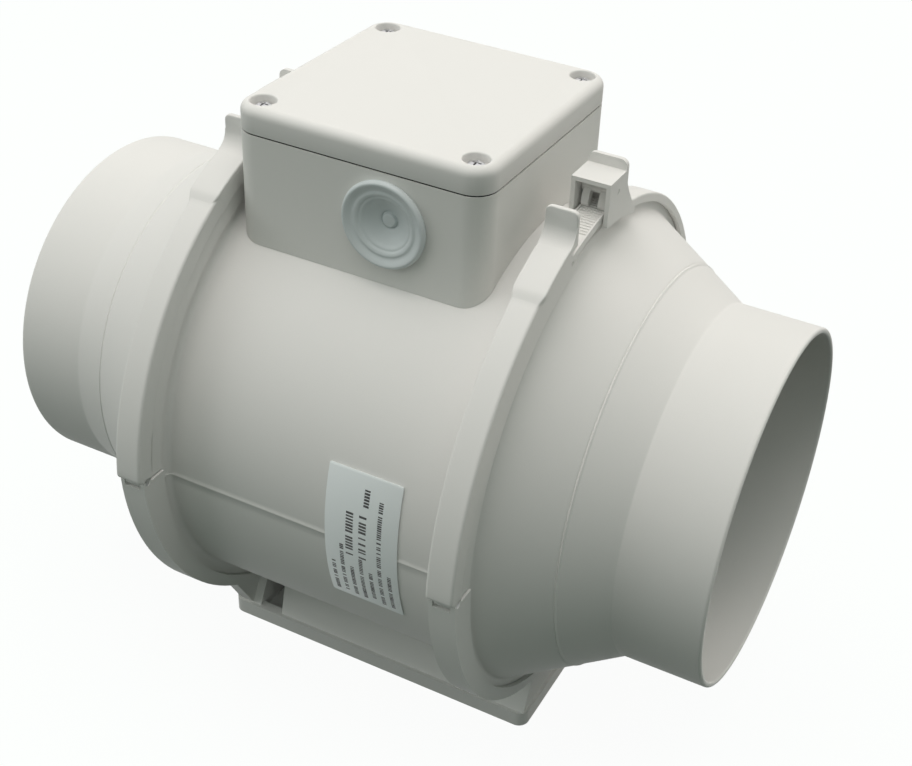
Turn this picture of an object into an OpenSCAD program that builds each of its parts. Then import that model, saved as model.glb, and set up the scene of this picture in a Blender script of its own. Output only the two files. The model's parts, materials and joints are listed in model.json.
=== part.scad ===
// Inline duct fan: a mixed-flow fan module held between two cones in a foot cradle by
// hinged clamp straps, with a terminal box on top. +X runs with the air, the front faces -Y,
// and the origin is on the floor, under the middle of the duct.

/* [Duct] */
// Height of the duct axis above the underside of the foot
axis_h = 100; // [98:0.5:106]
// Length from one spigot mouth to the other
duct_len = 258; // [252:1:270]
// Outside diameter of both spigots
spigot_d = 123; // [120:0.5:125]
// Length of the straight inlet spigot
inlet_spigot_len = 25; // [20:0.5:28]
// Length of the straight outlet spigot
outlet_spigot_len = 29.6; // [22:0.1:32]
// Wall of the cones and spigots
cone_wall = 2; // [1.6:0.1:2.4]
// Distance from the inlet spigot to the seam circle of the inlet cone
inlet_seam_run = 12; // [9:0.5:15]
// Rise of the inlet cone's seam circle over the spigot
inlet_seam_rise = 4; // [3:0.5:5]
// Distance from the outlet spigot to the seam circle of the outlet cone
outlet_seam_run = 14.4; // [11:0.2:17]
// Rise of the outlet cone's seam circle over the spigot
outlet_seam_rise = 9; // [7.5:0.5:10]
// Step down at each seam circle
seam_step = 0.5; // [0.2:0.1:0.8]

/* [Casing] */
// Outside radius of the casing tube
casing_r = 81.7; // [81:0.1:82.5]
// Wall of the casing tube
casing_wall = 2.2; // [1.8:0.1:2.6]
// Middle of the casing along the duct
casing_mid = 3.15; // [1:0.05:5]
// Distance between the middles of the two joints
joint_span = 112.2; // [110:0.2:116]
// Height of the joint flanges over the casing tube
flange_h = 5.1; // [4.6:0.1:5.4]
// Thickness of each joint flange
flange_t = 2.2; // [1.8:0.1:2.4]
// Thickness of the sealing ring between two flanges
seal_t = 1.1; // [0.8:0.1:1.4]
// Step from the casing tube up to the inlet cone
inlet_root_step = 0.8; // [0.3:0.1:1.4]
// Step from the casing tube up to the outlet cone
outlet_root_step = 1.8; // [0.8:0.1:2.3]
// Height of the moulded parting line on the casing
parting_h = 0.25; // [0.15:0.05:0.4]
// Width of the moulded parting line
parting_w = 0.5; // [0.3:0.1:0.8]
// Distance of the parting line below the duct axis
parting_drop = 2; // [1:0.5:4]

/* [Foot] */
// Length of the foot along the duct
foot_len = 125; // [122:1:130]
// Width of the foot
foot_w = 80; // [76:1:90]
// Offset of the middle of the foot along the duct
foot_mid = 2.5; // [1:0.5:4]
// Height of the upright edge of the foot
foot_edge_h = 6; // [5:0.5:8]
// Thickness of the foot plate
foot_plate_t = 3; // [2.5:0.5:4]
// Corner radius of the foot plate
foot_corner_r = 4; // [3:0.5:6]
// Thickness of the sloping foot walls
foot_wall = 2.5; // [2:0.1:3]
// Ledge between the upright edge and the sloping wall
foot_ledge = 1.2; // [0.8:0.1:2]
// How far the sloping wall leans in
foot_lean = 12; // [9:0.5:14]
// Height of the sloping wall above the upright edge
foot_slope_h = 24; // [20:1:28]
// Length of the open corner at the inlet end of the sloping walls
pocket_len = 10; // [6:0.5:14]
// Rake of the sloping walls' inlet ends
pocket_rake = 5; // [2:0.5:7]
// Thickness of the gussets under the inlet ring
gusset_t = 5.8; // [4:0.2:8]
// Reach of the gussets along the inlet ring, from the middle
gusset_y = 50; // [46:1:54]
// Distance between fixing holes along the duct
fix_span_x = 88; // [80:1:90]
// Distance between fixing holes across the duct
fix_span_y = 44; // [36:1:48]
// Radius of the fixing holes
fix_hole_r = 2.75; // [2.2:0.05:3.2]

/* [Clamp straps] */
// Width of each strap and cradle ring
strap_w = 9.1; // [8.8:0.1:9.6]
// Height of the straps over the flanges
strap_rise = 11.5; // [11:0.1:12.5]
// Thickness of the strap band
strap_band_t = 1.8; // [1.5:0.1:2.2]
// Depth of the strap cheeks below the strap's outside
cheek_deep = 6.3; // [5.5:0.1:7]
// Thickness of the thin lip below each cheek
lip_t = 0.9; // [0.7:0.1:1.1]
// How far the lips reach over the flanges
lip_over = 0.7; // [0.5:0.1:0.9]
// Step from the straps down to the cradle rings, at the height of the axis
cradle_step = 2.3; // [2:0.1:2.8]
// Depth of the cradle rings below the flanges, at the bottom
cradle_floor = 1.7; // [1.4:0.1:2.4]
// Height of the strap hinge pins above the duct axis
hinge_rise = 2.8; // [2:0.1:4]
// Radius of the strap hinge pins
hinge_pin_r = 1; // [0.8:0.1:1.2]
// Radius of the strap knuckles
knuckle_r = 1.9; // [1.8:0.1:2.1]
// Start of the raised pad on the front straps, degrees above the front
pad_from = 58; // [55:1:62]
// Height of the raised pad
pad_h = 0.8; // [0.5:0.1:1.2]
// Width of the raised pad and finger tab
pad_w = 10.6; // [10:0.1:11]
// End of the full section of the rear straps, degrees above the rear
rear_step_at = 12; // [10:1:16]
// Thickness of the rear straps where they hug the flanges
rear_low_t = 2.2; // [1.8:0.1:2.8]

/* [Latches] */
// Distance of the finger tab's face in front of the duct axis
tab_y = 30.4; // [29:0.1:32]
// Thickness of the finger tab
tab_t = 1.8; // [1.5:0.1:2.2]
// Height of the finger tab's top over the straps
tab_rise = 5.3; // [4:0.1:7]
// Fillet between the pad and the finger tab
tab_fillet = 6; // [4:0.5:7]
// Depth of the tongue's middle below the strap's outside
tongue_deep = 6.3; // [5.9:0.1:6.7]
// Thickness of the toothed tongue
tongue_t = 2; // [1.6:0.1:2.2]
// Distance between teeth, in degrees around the duct
tooth_step = 0.7; // [0.6:0.05:0.9]
// Height of the teeth
tooth_h = 0.35; // [0.25:0.05:0.45]
// Width of the buckle
buckle_w = 13; // [12.6:0.1:13.4]
// Length of the buckle box
buckle_len = 12; // [11:0.5:13]
// Distance of the buckle mouth in front of the duct axis
buckle_front = 10; // [9:0.5:11]
// Height of the buckle box
buckle_h = 14.4; // [13.8:0.1:15.2]
// Depth of the buckle's lower edge below the tongue
buckle_skirt = 1.3; // [0.8:0.1:2]
// Wall of the buckle
buckle_wall = 1.4; // [1.2:0.1:1.5]
// Height of the rear plate over the buckle
plate_rise = 3.4; // [2.4:0.1:4.4]
// Shift of the inlet latch away from the terminal box
inlet_latch_shift = 0.6; // [0.4:0.1:0.8]
// Radius of the pawl's pivot
pawl_pin_r = 1; // [0.8:0.1:1.2]
// Width of the pawl's release lever
pawl_lever_w = 5; // [4.5:0.1:5.5]

/* [Terminal box] */
// Length of the terminal box along the duct
box_len = 87.8; // [86:0.2:88.4]
// Width of the terminal box
box_w = 88; // [84:1:92]
// Offset of the middle of the box along the duct
box_mid = -2.5; // [-2.6:0.1:0]
// Upright corner radius of the box
box_corner_r = 8; // [6:0.5:10]
// Wall of the terminal box
box_wall = 2.5; // [2:0.1:3]
// Height of the lid seam above the casing's crown
box_rise = 25.1; // [24:0.1:28]
// Height of the lid
lid_h = 8.6; // [8:0.1:10]
// Rounding of the lid's top edge
lid_round = 3; // [2:0.5:4]
// Thickness of the lid's wall and top
lid_wall = 2.4; // [2:0.1:2.8]
// Distance of the lid screws from the box's sides
screw_inset = 7.3; // [7:0.1:8]
// Radius of the screw wells in the lid
well_r = 3.7; // [3.5:0.1:4]
// Depth of the screw wells
well_deep = 3.2; // [2.8:0.1:3.6]
// Thickness of the lid gasket
gasket_t = 1; // [0.8:0.1:1.4]
// Offset of the cable entry from the middle of the box
entry_x = 10.8; // [6:0.2:14]
// Height of the cable entry above the foot of the box's front wall
entry_up = 21.2; // [20:0.2:22]
// Radius of the grommet's outer rim
grommet_r = 14.4; // [13.5:0.1:15]
// How far the grommet stands proud of the box
grommet_proud = 3.4; // [2.5:0.1:4]

/* [Motor and impeller] */
// Outside radius of the motor housing
motor_r = 40; // [38:0.5:42]
// Length of the motor housing
motor_len = 36; // [34:1:40]
// Wall of the motor housing
motor_wall = 1.8; // [1.5:0.1:2.2]
// Front of the motor housing along the duct
motor_front = -13; // [-15:0.5:-11]
// Radius of the motor shaft
shaft_r = 4; // [3.5:0.1:4.5]
// Outside radius of the ball bearings
bearing_r = 11; // [10:0.5:12]
// Width of the ball bearings
bearing_w = 7; // [6:0.5:8]
// Radius of the rotor core
rotor_r = 19; // [17:0.5:20]
// Length of the rotor and stator cores
core_len = 15; // [13:0.5:16]
// Air gap between rotor and stator
air_gap = 0.4; // [0.3:0.05:0.6]
// Number of guide vanes
vane_count = 8; // [7:1:9]
// Thickness of the guide vanes
vane_t = 1.8; // [1.4:0.1:2.4]
// Length of the guide vanes along the duct
vane_len = 44; // [38:1:48]
// Number of impeller blades
blade_count = 9; // [7:1:10]
// Thickness of the impeller blades
blade_t = 1.6; // [1.3:0.1:2]
// Length of the impeller hub along the duct
impeller_len = 62; // [56:1:66]
// Radius of the impeller hub at its front
hub_front_r = 20; // [18:0.5:22]
// Radius of the impeller hub at its back
hub_back_r = 43; // [41:0.5:44]
// Gap between blade tips and the walls
tip_gap = 1.6; // [1.2:0.1:2.2]
// Length of the tail cone
tail_len = 50; // [40:1:55]

/* [Label] */
// Length of the label along the duct
label_len = 26; // [20:1:30]
// Distance of the label's middle from the middle of the duct
label_mid = 23; // [18:1:26]
// Lower edge of the label, degrees above the front
label_from = -20; // [-22:1:-16]
// Upper edge of the label, degrees above the front
label_to = 17.4; // [14:0.2:20]

/* [Hidden] */
$fn = 96;
fit = 0.3;                    // gap between parts that do not touch
snug = 0.1;                   // gap between parts of one body that seat in each other
run = 0.05;                   // radial clearance of shafts and pins
eps = 0.01;                   // overlap inside one solid
reach = 160;                  // more than any radius here

// Duct stations
half = duct_len/2;
spigot_r = spigot_d/2;
lip_round = 0.8;
joint_in = casing_mid - joint_span/2;
joint_out = casing_mid + joint_span/2;
stack = 2*flange_t + seal_t;
channel = stack + 2*fit;
cheek_t = (strap_w - channel)/2;
inlet_neck = -half + inlet_spigot_len;
inlet_seam = inlet_neck + inlet_seam_run;
outlet_neck = half - outlet_spigot_len;
outlet_seam = outlet_neck - outlet_seam_run;
casing_in_r = casing_r - casing_wall;
flange_r = casing_r + flange_h;
inlet_root_r = casing_r + inlet_root_step;
outlet_root_r = casing_r + outlet_root_step;
inlet_seam_r = spigot_r + inlet_seam_rise;
outlet_seam_r = spigot_r + outlet_seam_rise;

// Straps and cradle. The cradle's outline is the circle through its two given depths.
strap_r = flange_r + strap_rise;
cradle_side = strap_r - cradle_step;
cradle_low = flange_r + cradle_floor;
cradle_r = (cradle_low + pow(cradle_side, 2)/cradle_low)/2;
cradle_rise = cradle_r - cradle_low;
cheek_r = strap_r - cheek_deep;
strap_band_r = strap_r - strap_band_t;
strap_lip_r = flange_r - lip_over;
groove_r = flange_r + fit;
hinge_y = sqrt(pow(cradle_r, 2) - pow(hinge_rise - cradle_rise, 2)) - knuckle_r - snug;
relief_r = knuckle_r + 1.1;
strap_low = hinge_rise + 1;
arm_top = 6;
arm_in = 2.2;
tab_top = strap_r + tab_rise;
tongue_r = strap_r - tongue_deep;
tongue_top = tongue_r + tongue_t/2;
tongue_low = tongue_r - tongue_t/2;
tongue_w = buckle_w - 2*buckle_wall - 4*fit;
tongue_tip = 1;
buckle_low = tongue_low - buckle_skirt;
buckle_top = buckle_low + buckle_h;
plate_top = buckle_top + plate_rise;
first_tooth = 80;
last_tooth = 89.5;
pad_r = strap_r + pad_h;
pad_to = 80;
strap_end_y = tab_y - tab_t;
rear_band = [tongue_low + 0.2, tongue_top + 1.4];
rear_low = [groove_r, groove_r + rear_low_t];
rear_low_to = 82.5;
plate_t = 1.6;
buckle_back = buckle_len - buckle_front;
buckle_tail = 12.5;

// Pawl
pawl_y = -3.6;
pawl_z = buckle_top - 4.8;
pawl_barrel_r = 1.9;
prong_w = 2.4;
prong_x = 2.8;
prong_y = -6.6;
prong_z = sqrt(pow(tongue_top + tooth_h, 2) - pow(prong_y, 2)) + fit;
lever_z = buckle_top - 6.7;
lever_t = 1.3;
lever_end = 9.5;
lever_slot_h = 5.2;

// Terminal box
seam_rise = casing_r + box_rise;
entry_rise = sqrt(pow(casing_r, 2) - pow(box_w/2, 2)) + entry_up;
box_floor_r = casing_r + snug;
box_floor_t = 2.4;
box_in_r = box_floor_r + box_floor_t;
screw_x = box_len/2 - screw_inset;
screw_y = box_w/2 - screw_inset;
screw_r = 1.5;
screw_len = 14;
screw_head_r = 3;
screw_head_h = 1.9;
boss_r = 4;
boss_hole_deep = 16;
well_floor = lid_h - well_deep;
well_wall = 1.5;
gasket_w = 1.2;
grommet_hole_r = 11;
lead_r = 2;
lead_x = 16.5;
block_size = [34, 15, 10];
block_at = [-14, -6];
block_rise = box_in_r + 2.3;
block_screw_r = 1.6;
block_ways = 5;
cap_r = 9;
cap_len = 42;
cap_at = [-6, 25];
cap_rise = sqrt(pow(box_in_r, 2) - pow(cap_at[1] - cap_r, 2)) + cap_r + 0.8;
clamp_y = -29;
clamp_rise = box_in_r + 2.8;
clamp_len = 26;
clamp_d = 7;
clamp_t = 3;
cord_r = 5;
clamp_post_x = 9;
clamp_post_r = 3;

// Motor
cup_r = motor_r + fit;
cup_wall = 2;
cup_out_r = cup_r + cup_wall;
motor_back = motor_front + motor_len;
cup_front = motor_front - snug - cup_wall;
front_bearing_x = motor_front + motor_wall;
rear_bearing_x = motor_back - bearing_w;
core_x = motor_front + (motor_len - core_len)/2;
stator_out_r = motor_r - motor_wall - snug;
stator_in_r = rotor_r + air_gap;
winding_len = 3.6;
winding_r0 = stator_in_r + 5;
winding_r1 = stator_out_r - 3;
lead_foot = motor_r - motor_wall - 3;
ring_t = 2;
ring_out_r = casing_in_r - fit;
impeller_back = cup_front - 2.5;
impeller_front = impeller_back - impeller_len;
hub_wall = 2;
hub_boss_r = 9;
hub_boss_len = 16;
web_t = 3;
shaft_front = impeller_front + 5;
shaft_back = motor_back + 2;
nut_h = 6;
nut_flats = 13;
blade_lean = 32;
vane_curve_r = 60;
vane_lean = 12;
motor_screw_ring = 0.75*motor_r;
motor_screw_count = 3;
motor_screw_turn = 60;
motor_screw_len = 6;
tail_tip_r = 14;
tail_plug = 2.6;

// ---- Shapes that repeat ----

// Turn [x, radius] points about the duct axis
module lathe(points)
    translate([0, 0, axis_h]) rotate([0, 90, 0])
        rotate_extrude() polygon([for (p = points) [p[1], p[0]]]);

// Tube or rod along the duct axis
module tube_x(x0, x1, r_out, r_in = 0)
    translate([x0, 0, axis_h]) rotate([0, 90, 0]) difference() {
        cylinder(r = r_out, h = x1 - x0);
        if (r_in > 0) translate([0, 0, -1]) cylinder(r = r_in, h = x1 - x0 + 2);
    }

// Extrude a cross-section, drawn as [y, height above the axis], along the duct
module slab_x(x0, x1)
    translate([x0, 0, axis_h]) rotate([90, 0, 90]) linear_extrude(x1 - x0) children();

module ring2d(r0, r1)
    difference() {
        circle(r = r1);
        circle(r = r0);
    }

// Wedge of the cross-section, in degrees above the front horizontal
module wedge2d(a0, a1)
    polygon(concat([[0, 0]], [for (i = [0:6])
        let (a = a0 + (a1 - a0)*i/6) [-reach*cos(a), reach*sin(a)]]));

module band2d(r0, r1, a0, a1)
    intersection() {
        ring2d(r0, r1);
        wedge2d(a0, a1);
    }

module round_rect(w, d, r)
    for (i = [0, 1]) union() {
        square([w - 2*r*i, d - 2*r*(1 - i)], center = true);
        for (sx = [-1, 1], sy = [-1, 1]) translate([sx*(w/2 - r), sy*(d/2 - r)]) circle(r = r);
    }

// Pan-head screw with a cross recess, head top at the origin, pointing down
module cross_screw(r, len, head_r, head_h) {
    slot = head_r*0.28;
    difference() {
        translate([0, 0, -head_h]) cylinder(r = head_r, h = head_h);
        for (a = [0, 90]) rotate([0, 0, a])
            translate([-head_r*0.6, -slot/2, -head_h*0.55]) cube([head_r*1.2, slot, head_h]);
    }
    translate([0, 0, -head_h - len]) cylinder(r = r, h = len + eps);
}

// ---- Duct parts ----

module foot_outline(grow = 0)
    translate([foot_mid, 0]) round_rect(foot_len + 2*grow, foot_w + 2*grow, foot_corner_r);

// Cross-section of the foot above its plate: upright at the edge, then leaning in
module slope2d(inset) {
    base = foot_w/2 - foot_ledge - inset;
    translate([0, -axis_h]) polygon([[-base, foot_plate_t/2], [-base, foot_edge_h],
        [foot_lean - base, foot_edge_h + foot_slope_h],
        [base - foot_lean, foot_edge_h + foot_slope_h], [base, foot_edge_h],
        [base, foot_plate_t/2]]);
}

module foot_walls() {
    wall_x0 = joint_in + strap_w/2 - eps;
    wall_x1 = joint_out - strap_w/2 + eps;
    difference() {
        slab_x(wall_x0, wall_x1) difference() {
            slope2d(0);
            slope2d(foot_wall);
        }
        tube_x(-half, half, casing_r + fit);
        // open corner towards the inlet ring, on both sides
        translate([wall_x0 - 1, reach, foot_plate_t]) rotate([90, 0, 0]) linear_extrude(2*reach)
            polygon([[0, 0], [1 + pocket_len, 0],
                [1 + pocket_len - pocket_rake, foot_edge_h + foot_slope_h],
                [0, foot_edge_h + foot_slope_h]]);
    }
}

// Gussets that flare from the foot plate out to the inlet ring
module gusset2d() {
    base = foot_w/2 - foot_ledge;
    top = cradle_rise - sqrt(pow(cradle_r, 2) - pow(gusset_y, 2));
    difference() {
        polygon([[-base, foot_plate_t/2 - axis_h], [-base, foot_edge_h - axis_h], [-gusset_y, top],
            [gusset_y, top], [base, foot_edge_h - axis_h], [base, foot_plate_t/2 - axis_h]]);
        circle(r = groove_r);
    }
}

module cradle_outline() translate([0, cradle_rise]) circle(r = cradle_r);

module below_hinge(drop = 0)
    translate([-reach, -2*reach + hinge_rise - drop]) square([2*reach, 2*reach]);

module cradle_ring(mid) {
    // band at the outside, following the outline
    slab_x(mid - strap_w/2, mid + strap_w/2) intersection() {
        difference() {
            cradle_outline();
            translate([0, cradle_rise]) circle(r = cradle_r - strap_band_t);
            circle(r = groove_r);
        }
        below_hinge(knuckle_r + fit);
    }
    // cheeks on both sides of the joint, with eyes for the hinge pins
    for (s = [0, 1]) slab_x(mid - strap_w/2 + s*(strap_w - cheek_t),
            mid - strap_w/2 + cheek_t + s*(strap_w - cheek_t)) difference() {
        union() {
            intersection() {
                difference() {
                    cradle_outline();
                    circle(r = strap_lip_r);
                }
                below_hinge();
            }
            for (f = [-1, 1]) translate([f*hinge_y, hinge_rise]) circle(r = knuckle_r);
        }
        for (f = [-1, 1]) translate([f*hinge_y, hinge_rise]) circle(r = hinge_pin_r + run/2);
    }
    // web down to the foot plate
    slab_x(mid - strap_w/2, mid + strap_w/2) difference() {
        slope2d(0);
        circle(r = groove_r);
    }
}

module foot_cradle() color([0.9, 0.9, 0.88]) difference() {
    union() {
        linear_extrude(foot_plate_t) foot_outline();
        difference() {
            linear_extrude(foot_edge_h) foot_outline();
            translate([0, 0, foot_plate_t])
                linear_extrude(foot_edge_h) foot_outline(-foot_ledge - foot_wall - snug);
        }
        foot_walls();
        for (mid = [joint_in, joint_out]) cradle_ring(mid);
        slab_x(joint_in - strap_w/2, joint_in - strap_w/2 + gusset_t) gusset2d();
    }
    for (sx = [-1, 1], sy = [-1, 1])
        translate([foot_mid + sx*fix_span_x/2, sy*fix_span_y/2, -1])
            cylinder(r = fix_hole_r, h = foot_plate_t + 2);
}

module casing() color([0.93, 0.93, 0.91]) {
    x0 = joint_in + seal_t/2;
    x1 = joint_out - seal_t/2;
    difference() {
        union() {
            lathe([[x0, casing_in_r], [x0, flange_r], [x0 + flange_t, flange_r],
                [x0 + flange_t, casing_r], [x1 - flange_t, casing_r], [x1 - flange_t, flange_r],
                [x1, flange_r], [x1, casing_in_r]]);
            for (s = [-1, 1]) translate([x0 + eps, s*(casing_r + parting_h/2 - 0.3) - 0.3
                    - parting_h/2, axis_h - parting_drop - parting_w/2])
                cube([x1 - x0 - 2*eps, 0.6 + parting_h, parting_w]);
        }
        // hole for the motor leads, under the terminal box
        translate([lead_x, 0, axis_h]) cylinder(r = lead_r + fit, h = casing_r + 5);
    }
}

// Cone with its flange at the joint: side is -1 for the inlet and 1 for the outlet
module cone(side, joint, root_r, seam, seam_r, neck) {
    f0 = joint + side*seal_t/2;
    f1 = f0 + side*flange_t;
    mouth = side*half;
    lathe([[f0, root_r - cone_wall], [f0, flange_r], [f1, flange_r], [f1, root_r],
        [seam, seam_r], [seam, seam_r - seam_step], [neck, spigot_r],
        [mouth - side*lip_round, spigot_r], [mouth, spigot_r - lip_round],
        [mouth, spigot_r - cone_wall], [neck, spigot_r - cone_wall],
        [seam, seam_r - seam_step - cone_wall], [f1, root_r - cone_wall - seam_step]]);
}

module inlet_cone() color([0.93, 0.93, 0.91])
    cone(-1, joint_in, inlet_root_r, inlet_seam, inlet_seam_r, inlet_neck);

module outlet_cone() color([0.93, 0.93, 0.91])
    cone(1, joint_out, outlet_root_r, outlet_seam, outlet_seam_r, outlet_neck);

module inlet_seal() color([0.2, 0.2, 0.2])
    tube_x(joint_in - seal_t/2, joint_in + seal_t/2, flange_r - 0.5, casing_in_r + 1.5);

module outlet_seal() color([0.2, 0.2, 0.2])
    tube_x(joint_out - seal_t/2, joint_out + seal_t/2, flange_r - 0.5, casing_in_r + 2.5);

// ---- Motor and impeller ----

// Blade of one curved plate, turned about a radial line
module curved_blade(x_mid, curve_r, lean, thick)
    translate([x_mid, 0, axis_h]) rotate([0, 0, lean]) translate([0, curve_r, 0]) difference() {
        cylinder(r = curve_r + thick/2, h = reach/1.6);
        translate([0, 0, -1]) cylinder(r = curve_r - thick/2, h = reach);
        translate([-reach, 0, -1]) cube([2*reach, reach, reach]);
        for (s = [-1, 1]) translate([s*reach - (s > 0 ? reach/1.6 : reach*0.375), -reach, -1])
            cube([reach, 2*reach, reach]);
    }

module around(n, turn = 0)
    for (i = [0:n - 1]) translate([0, 0, axis_h]) rotate([360*i/n + turn, 0, 0])
        translate([0, 0, -axis_h]) children();

module guide_vanes() color([0.85, 0.85, 0.83]) {
    vane_x0 = cup_front + 2;
    vane_x1 = vane_x0 + vane_len;
    difference() {
        tube_x(vane_x0, vane_x1, ring_out_r, ring_out_r - ring_t);
        translate([lead_x, 0, axis_h]) cylinder(r = lead_r + fit, h = casing_r);
    }
    difference() {
        tube_x(cup_front, motor_back + 3, cup_out_r);
        tube_x(cup_front + cup_wall, motor_back + 4, cup_r);
        tube_x(cup_front - 1, cup_front + cup_wall + 1, bearing_r + 2);
        around(motor_screw_count, motor_screw_turn)
            translate([cup_front - 1, 0, axis_h + motor_screw_ring])
            rotate([0, 90, 0]) cylinder(r = screw_r + snug, h = cup_wall + 2);
        translate([lead_x, 0, axis_h]) cylinder(r = lead_r + fit, h = casing_r);
    }
    intersection() {
        around(vane_count, 180/vane_count)
            curved_blade((vane_x0 + vane_x1)/2, vane_curve_r, vane_lean, vane_t);
        tube_x(vane_x0 + 1, vane_x1 - 1, ring_out_r - ring_t + eps, cup_out_r - eps);
    }
}

module motor_housing() color([0.75, 0.76, 0.78]) difference() {
    union() {
        tube_x(motor_front, motor_back - motor_wall, motor_r, motor_r - motor_wall);
        tube_x(motor_front, motor_front + motor_wall, motor_r - eps);
        tube_x(motor_front, front_bearing_x + bearing_w, bearing_r + 1.8);
        around(motor_screw_count, motor_screw_turn)
            translate([motor_front, 0, axis_h + motor_screw_ring])
            rotate([0, 90, 0]) cylinder(r = 3.2, h = 5);
    }
    tube_x(front_bearing_x, front_bearing_x + bearing_w + 1, bearing_r + run);
    tube_x(motor_front - 1, front_bearing_x + 1, shaft_r + 1.5);
    around(motor_screw_count, motor_screw_turn)
        translate([motor_front - 1, 0, axis_h + motor_screw_ring])
        rotate([0, 90, 0]) cylinder(r = screw_r + run, h = motor_screw_len + 1);
    translate([lead_x, 0, axis_h]) cylinder(r = lead_r + fit, h = casing_r);
}

module motor_end_cap() color([0.72, 0.73, 0.75]) difference() {
    union() {
        tube_x(motor_back - motor_wall, motor_back, motor_r);
        tube_x(rear_bearing_x, motor_back, bearing_r + 1.8);
    }
    tube_x(rear_bearing_x - 1, motor_back - motor_wall, bearing_r + run);
    tube_x(motor_back - motor_wall - 1, motor_back + 1, shaft_r + 1.5);
}

module motor_screws() color([0.6, 0.6, 0.62])
    around(motor_screw_count, motor_screw_turn)
        translate([cup_front - screw_head_h, 0, axis_h + motor_screw_ring])
        rotate([0, -90, 0]) cross_screw(screw_r, motor_screw_len, screw_head_r, screw_head_h);

module stator_core() color([0.35, 0.36, 0.4])
    tube_x(core_x, core_x + core_len, stator_out_r, stator_in_r);

module windings() color([0.72, 0.4, 0.18])
    for (x = [core_x - winding_len - snug, core_x + core_len + snug])
        tube_x(x, x + winding_len, winding_r1, winding_r0);

module bearing(x) color([0.7, 0.7, 0.72]) difference() {
    tube_x(x, x + bearing_w - snug, bearing_r, shaft_r + run);
    for (s = [x - 1, x + bearing_w - snug - 0.5])
        tube_x(s, s + 1.5, bearing_r - 1.4, shaft_r + 1.6);
}

module front_bearing() bearing(front_bearing_x + snug);

module rear_bearing() bearing(rear_bearing_x - motor_wall);

module tail_cone() color([0.85, 0.85, 0.83]) {
    x0 = motor_back + 3 + snug;
    lathe([[x0 - tail_plug, cup_r - snug - 1.6], [x0 - tail_plug, cup_r - snug], [x0, cup_r - snug],
        [x0, cup_out_r], [x0 + 6, cup_out_r - 0.6], [x0 + tail_len*0.45, cup_out_r*0.78],
        [x0 + tail_len*0.8, tail_tip_r*1.45], [x0 + tail_len, tail_tip_r*0.5],
        [x0 + tail_len, 0], [x0 + tail_len - hub_wall, 0],
        [x0 + tail_len - hub_wall, tail_tip_r*0.4],
        [x0 + tail_len*0.8 - hub_wall, tail_tip_r*1.45 - hub_wall],
        [x0 + tail_len*0.45 - 1, cup_out_r*0.78 - hub_wall], [x0 + 6, cup_r - 2.4],
        [x0, cup_r - snug - 1.6]]);
}

module motor_leads() color([0.25, 0.25, 0.27])
    translate([lead_x, 0, axis_h + lead_foot])
        cylinder(r = lead_r, h = block_rise - fit - lead_foot);

function tip_at(x) = x < joint_in
    ? inlet_seam_r - cone_wall - seam_step - tip_gap
        + (x - inlet_seam)*(inlet_root_r - inlet_seam_r)/(joint_in - inlet_seam)
    : casing_in_r - tip_gap;

module impeller() color([0.25, 0.27, 0.3]) {
    x0 = impeller_front;
    x1 = impeller_back;
    nose = 8;
    blade_x0 = x0 + nose;
    difference() {
        lathe([[x0, 0], [x0, hub_front_r*0.55], [x0 + 2.5, hub_front_r*0.86],
            [x0 + nose, hub_front_r], [x1 - 4, hub_back_r], [x1, hub_back_r],
            [x1, hub_back_r - hub_wall], [x1 - 5, hub_back_r - hub_wall],
            [x0 + nose + 3, hub_front_r - hub_wall], [x0 + nose, hub_boss_r],
            [x0 + nose + hub_boss_len, hub_boss_r], [x0 + nose + hub_boss_len, 0]]);
        tube_x(x0 - 1, x0 + nose + hub_boss_len + 1, shaft_r + run/2);
        tube_x(x0 - 1, shaft_front + 1, 10, 0);
    }
    intersection() {
        around(blade_count) translate([(x0 + x1)/2, 0, axis_h]) rotate([0, 0, blade_lean])
            translate([-reach/2, -blade_t/2, 0]) cube([reach, blade_t, reach/2]);
        lathe([[blade_x0, hub_front_r - 1], [blade_x0, min(tip_at(blade_x0), spigot_r - 5)],
            [joint_in - stack/2, tip_at(joint_in - stack/2) - 1],
            [joint_in + stack/2 + 3, casing_in_r - tip_gap],
            [x1 - 3, casing_in_r - tip_gap], [x1 - 3, hub_back_r - 1]]);
    }
}

module impeller_nut() color([0.7, 0.7, 0.72])
    translate([shaft_front + 1 - nut_h + 0.5, 0, axis_h]) rotate([0, 90, 0]) difference() {
        cylinder(d = nut_flats/cos(30), h = nut_h - 0.5, $fn = 6);
        translate([0, 0, -1]) cylinder(r = shaft_r + run/2, h = nut_h + 2);
    }

module motor_shaft() color([0.75, 0.75, 0.78])
    tube_x(shaft_front - 4, shaft_back, shaft_r);

module rotor_core() color([0.4, 0.4, 0.43])
    tube_x(core_x, core_x + core_len, rotor_r, shaft_r + run/2);

// ---- Terminal box ----

module box_outline(grow = 0)
    round_rect(box_len + 2*grow, box_w + 2*grow, box_corner_r + grow);

module at_box(z) translate([box_mid, 0, axis_h + z]) children();

module at_lid_screws() for (sx = [-1, 1], sy = [-1, 1])
    translate([sx*screw_x, sy*screw_y, 0]) children();

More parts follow.
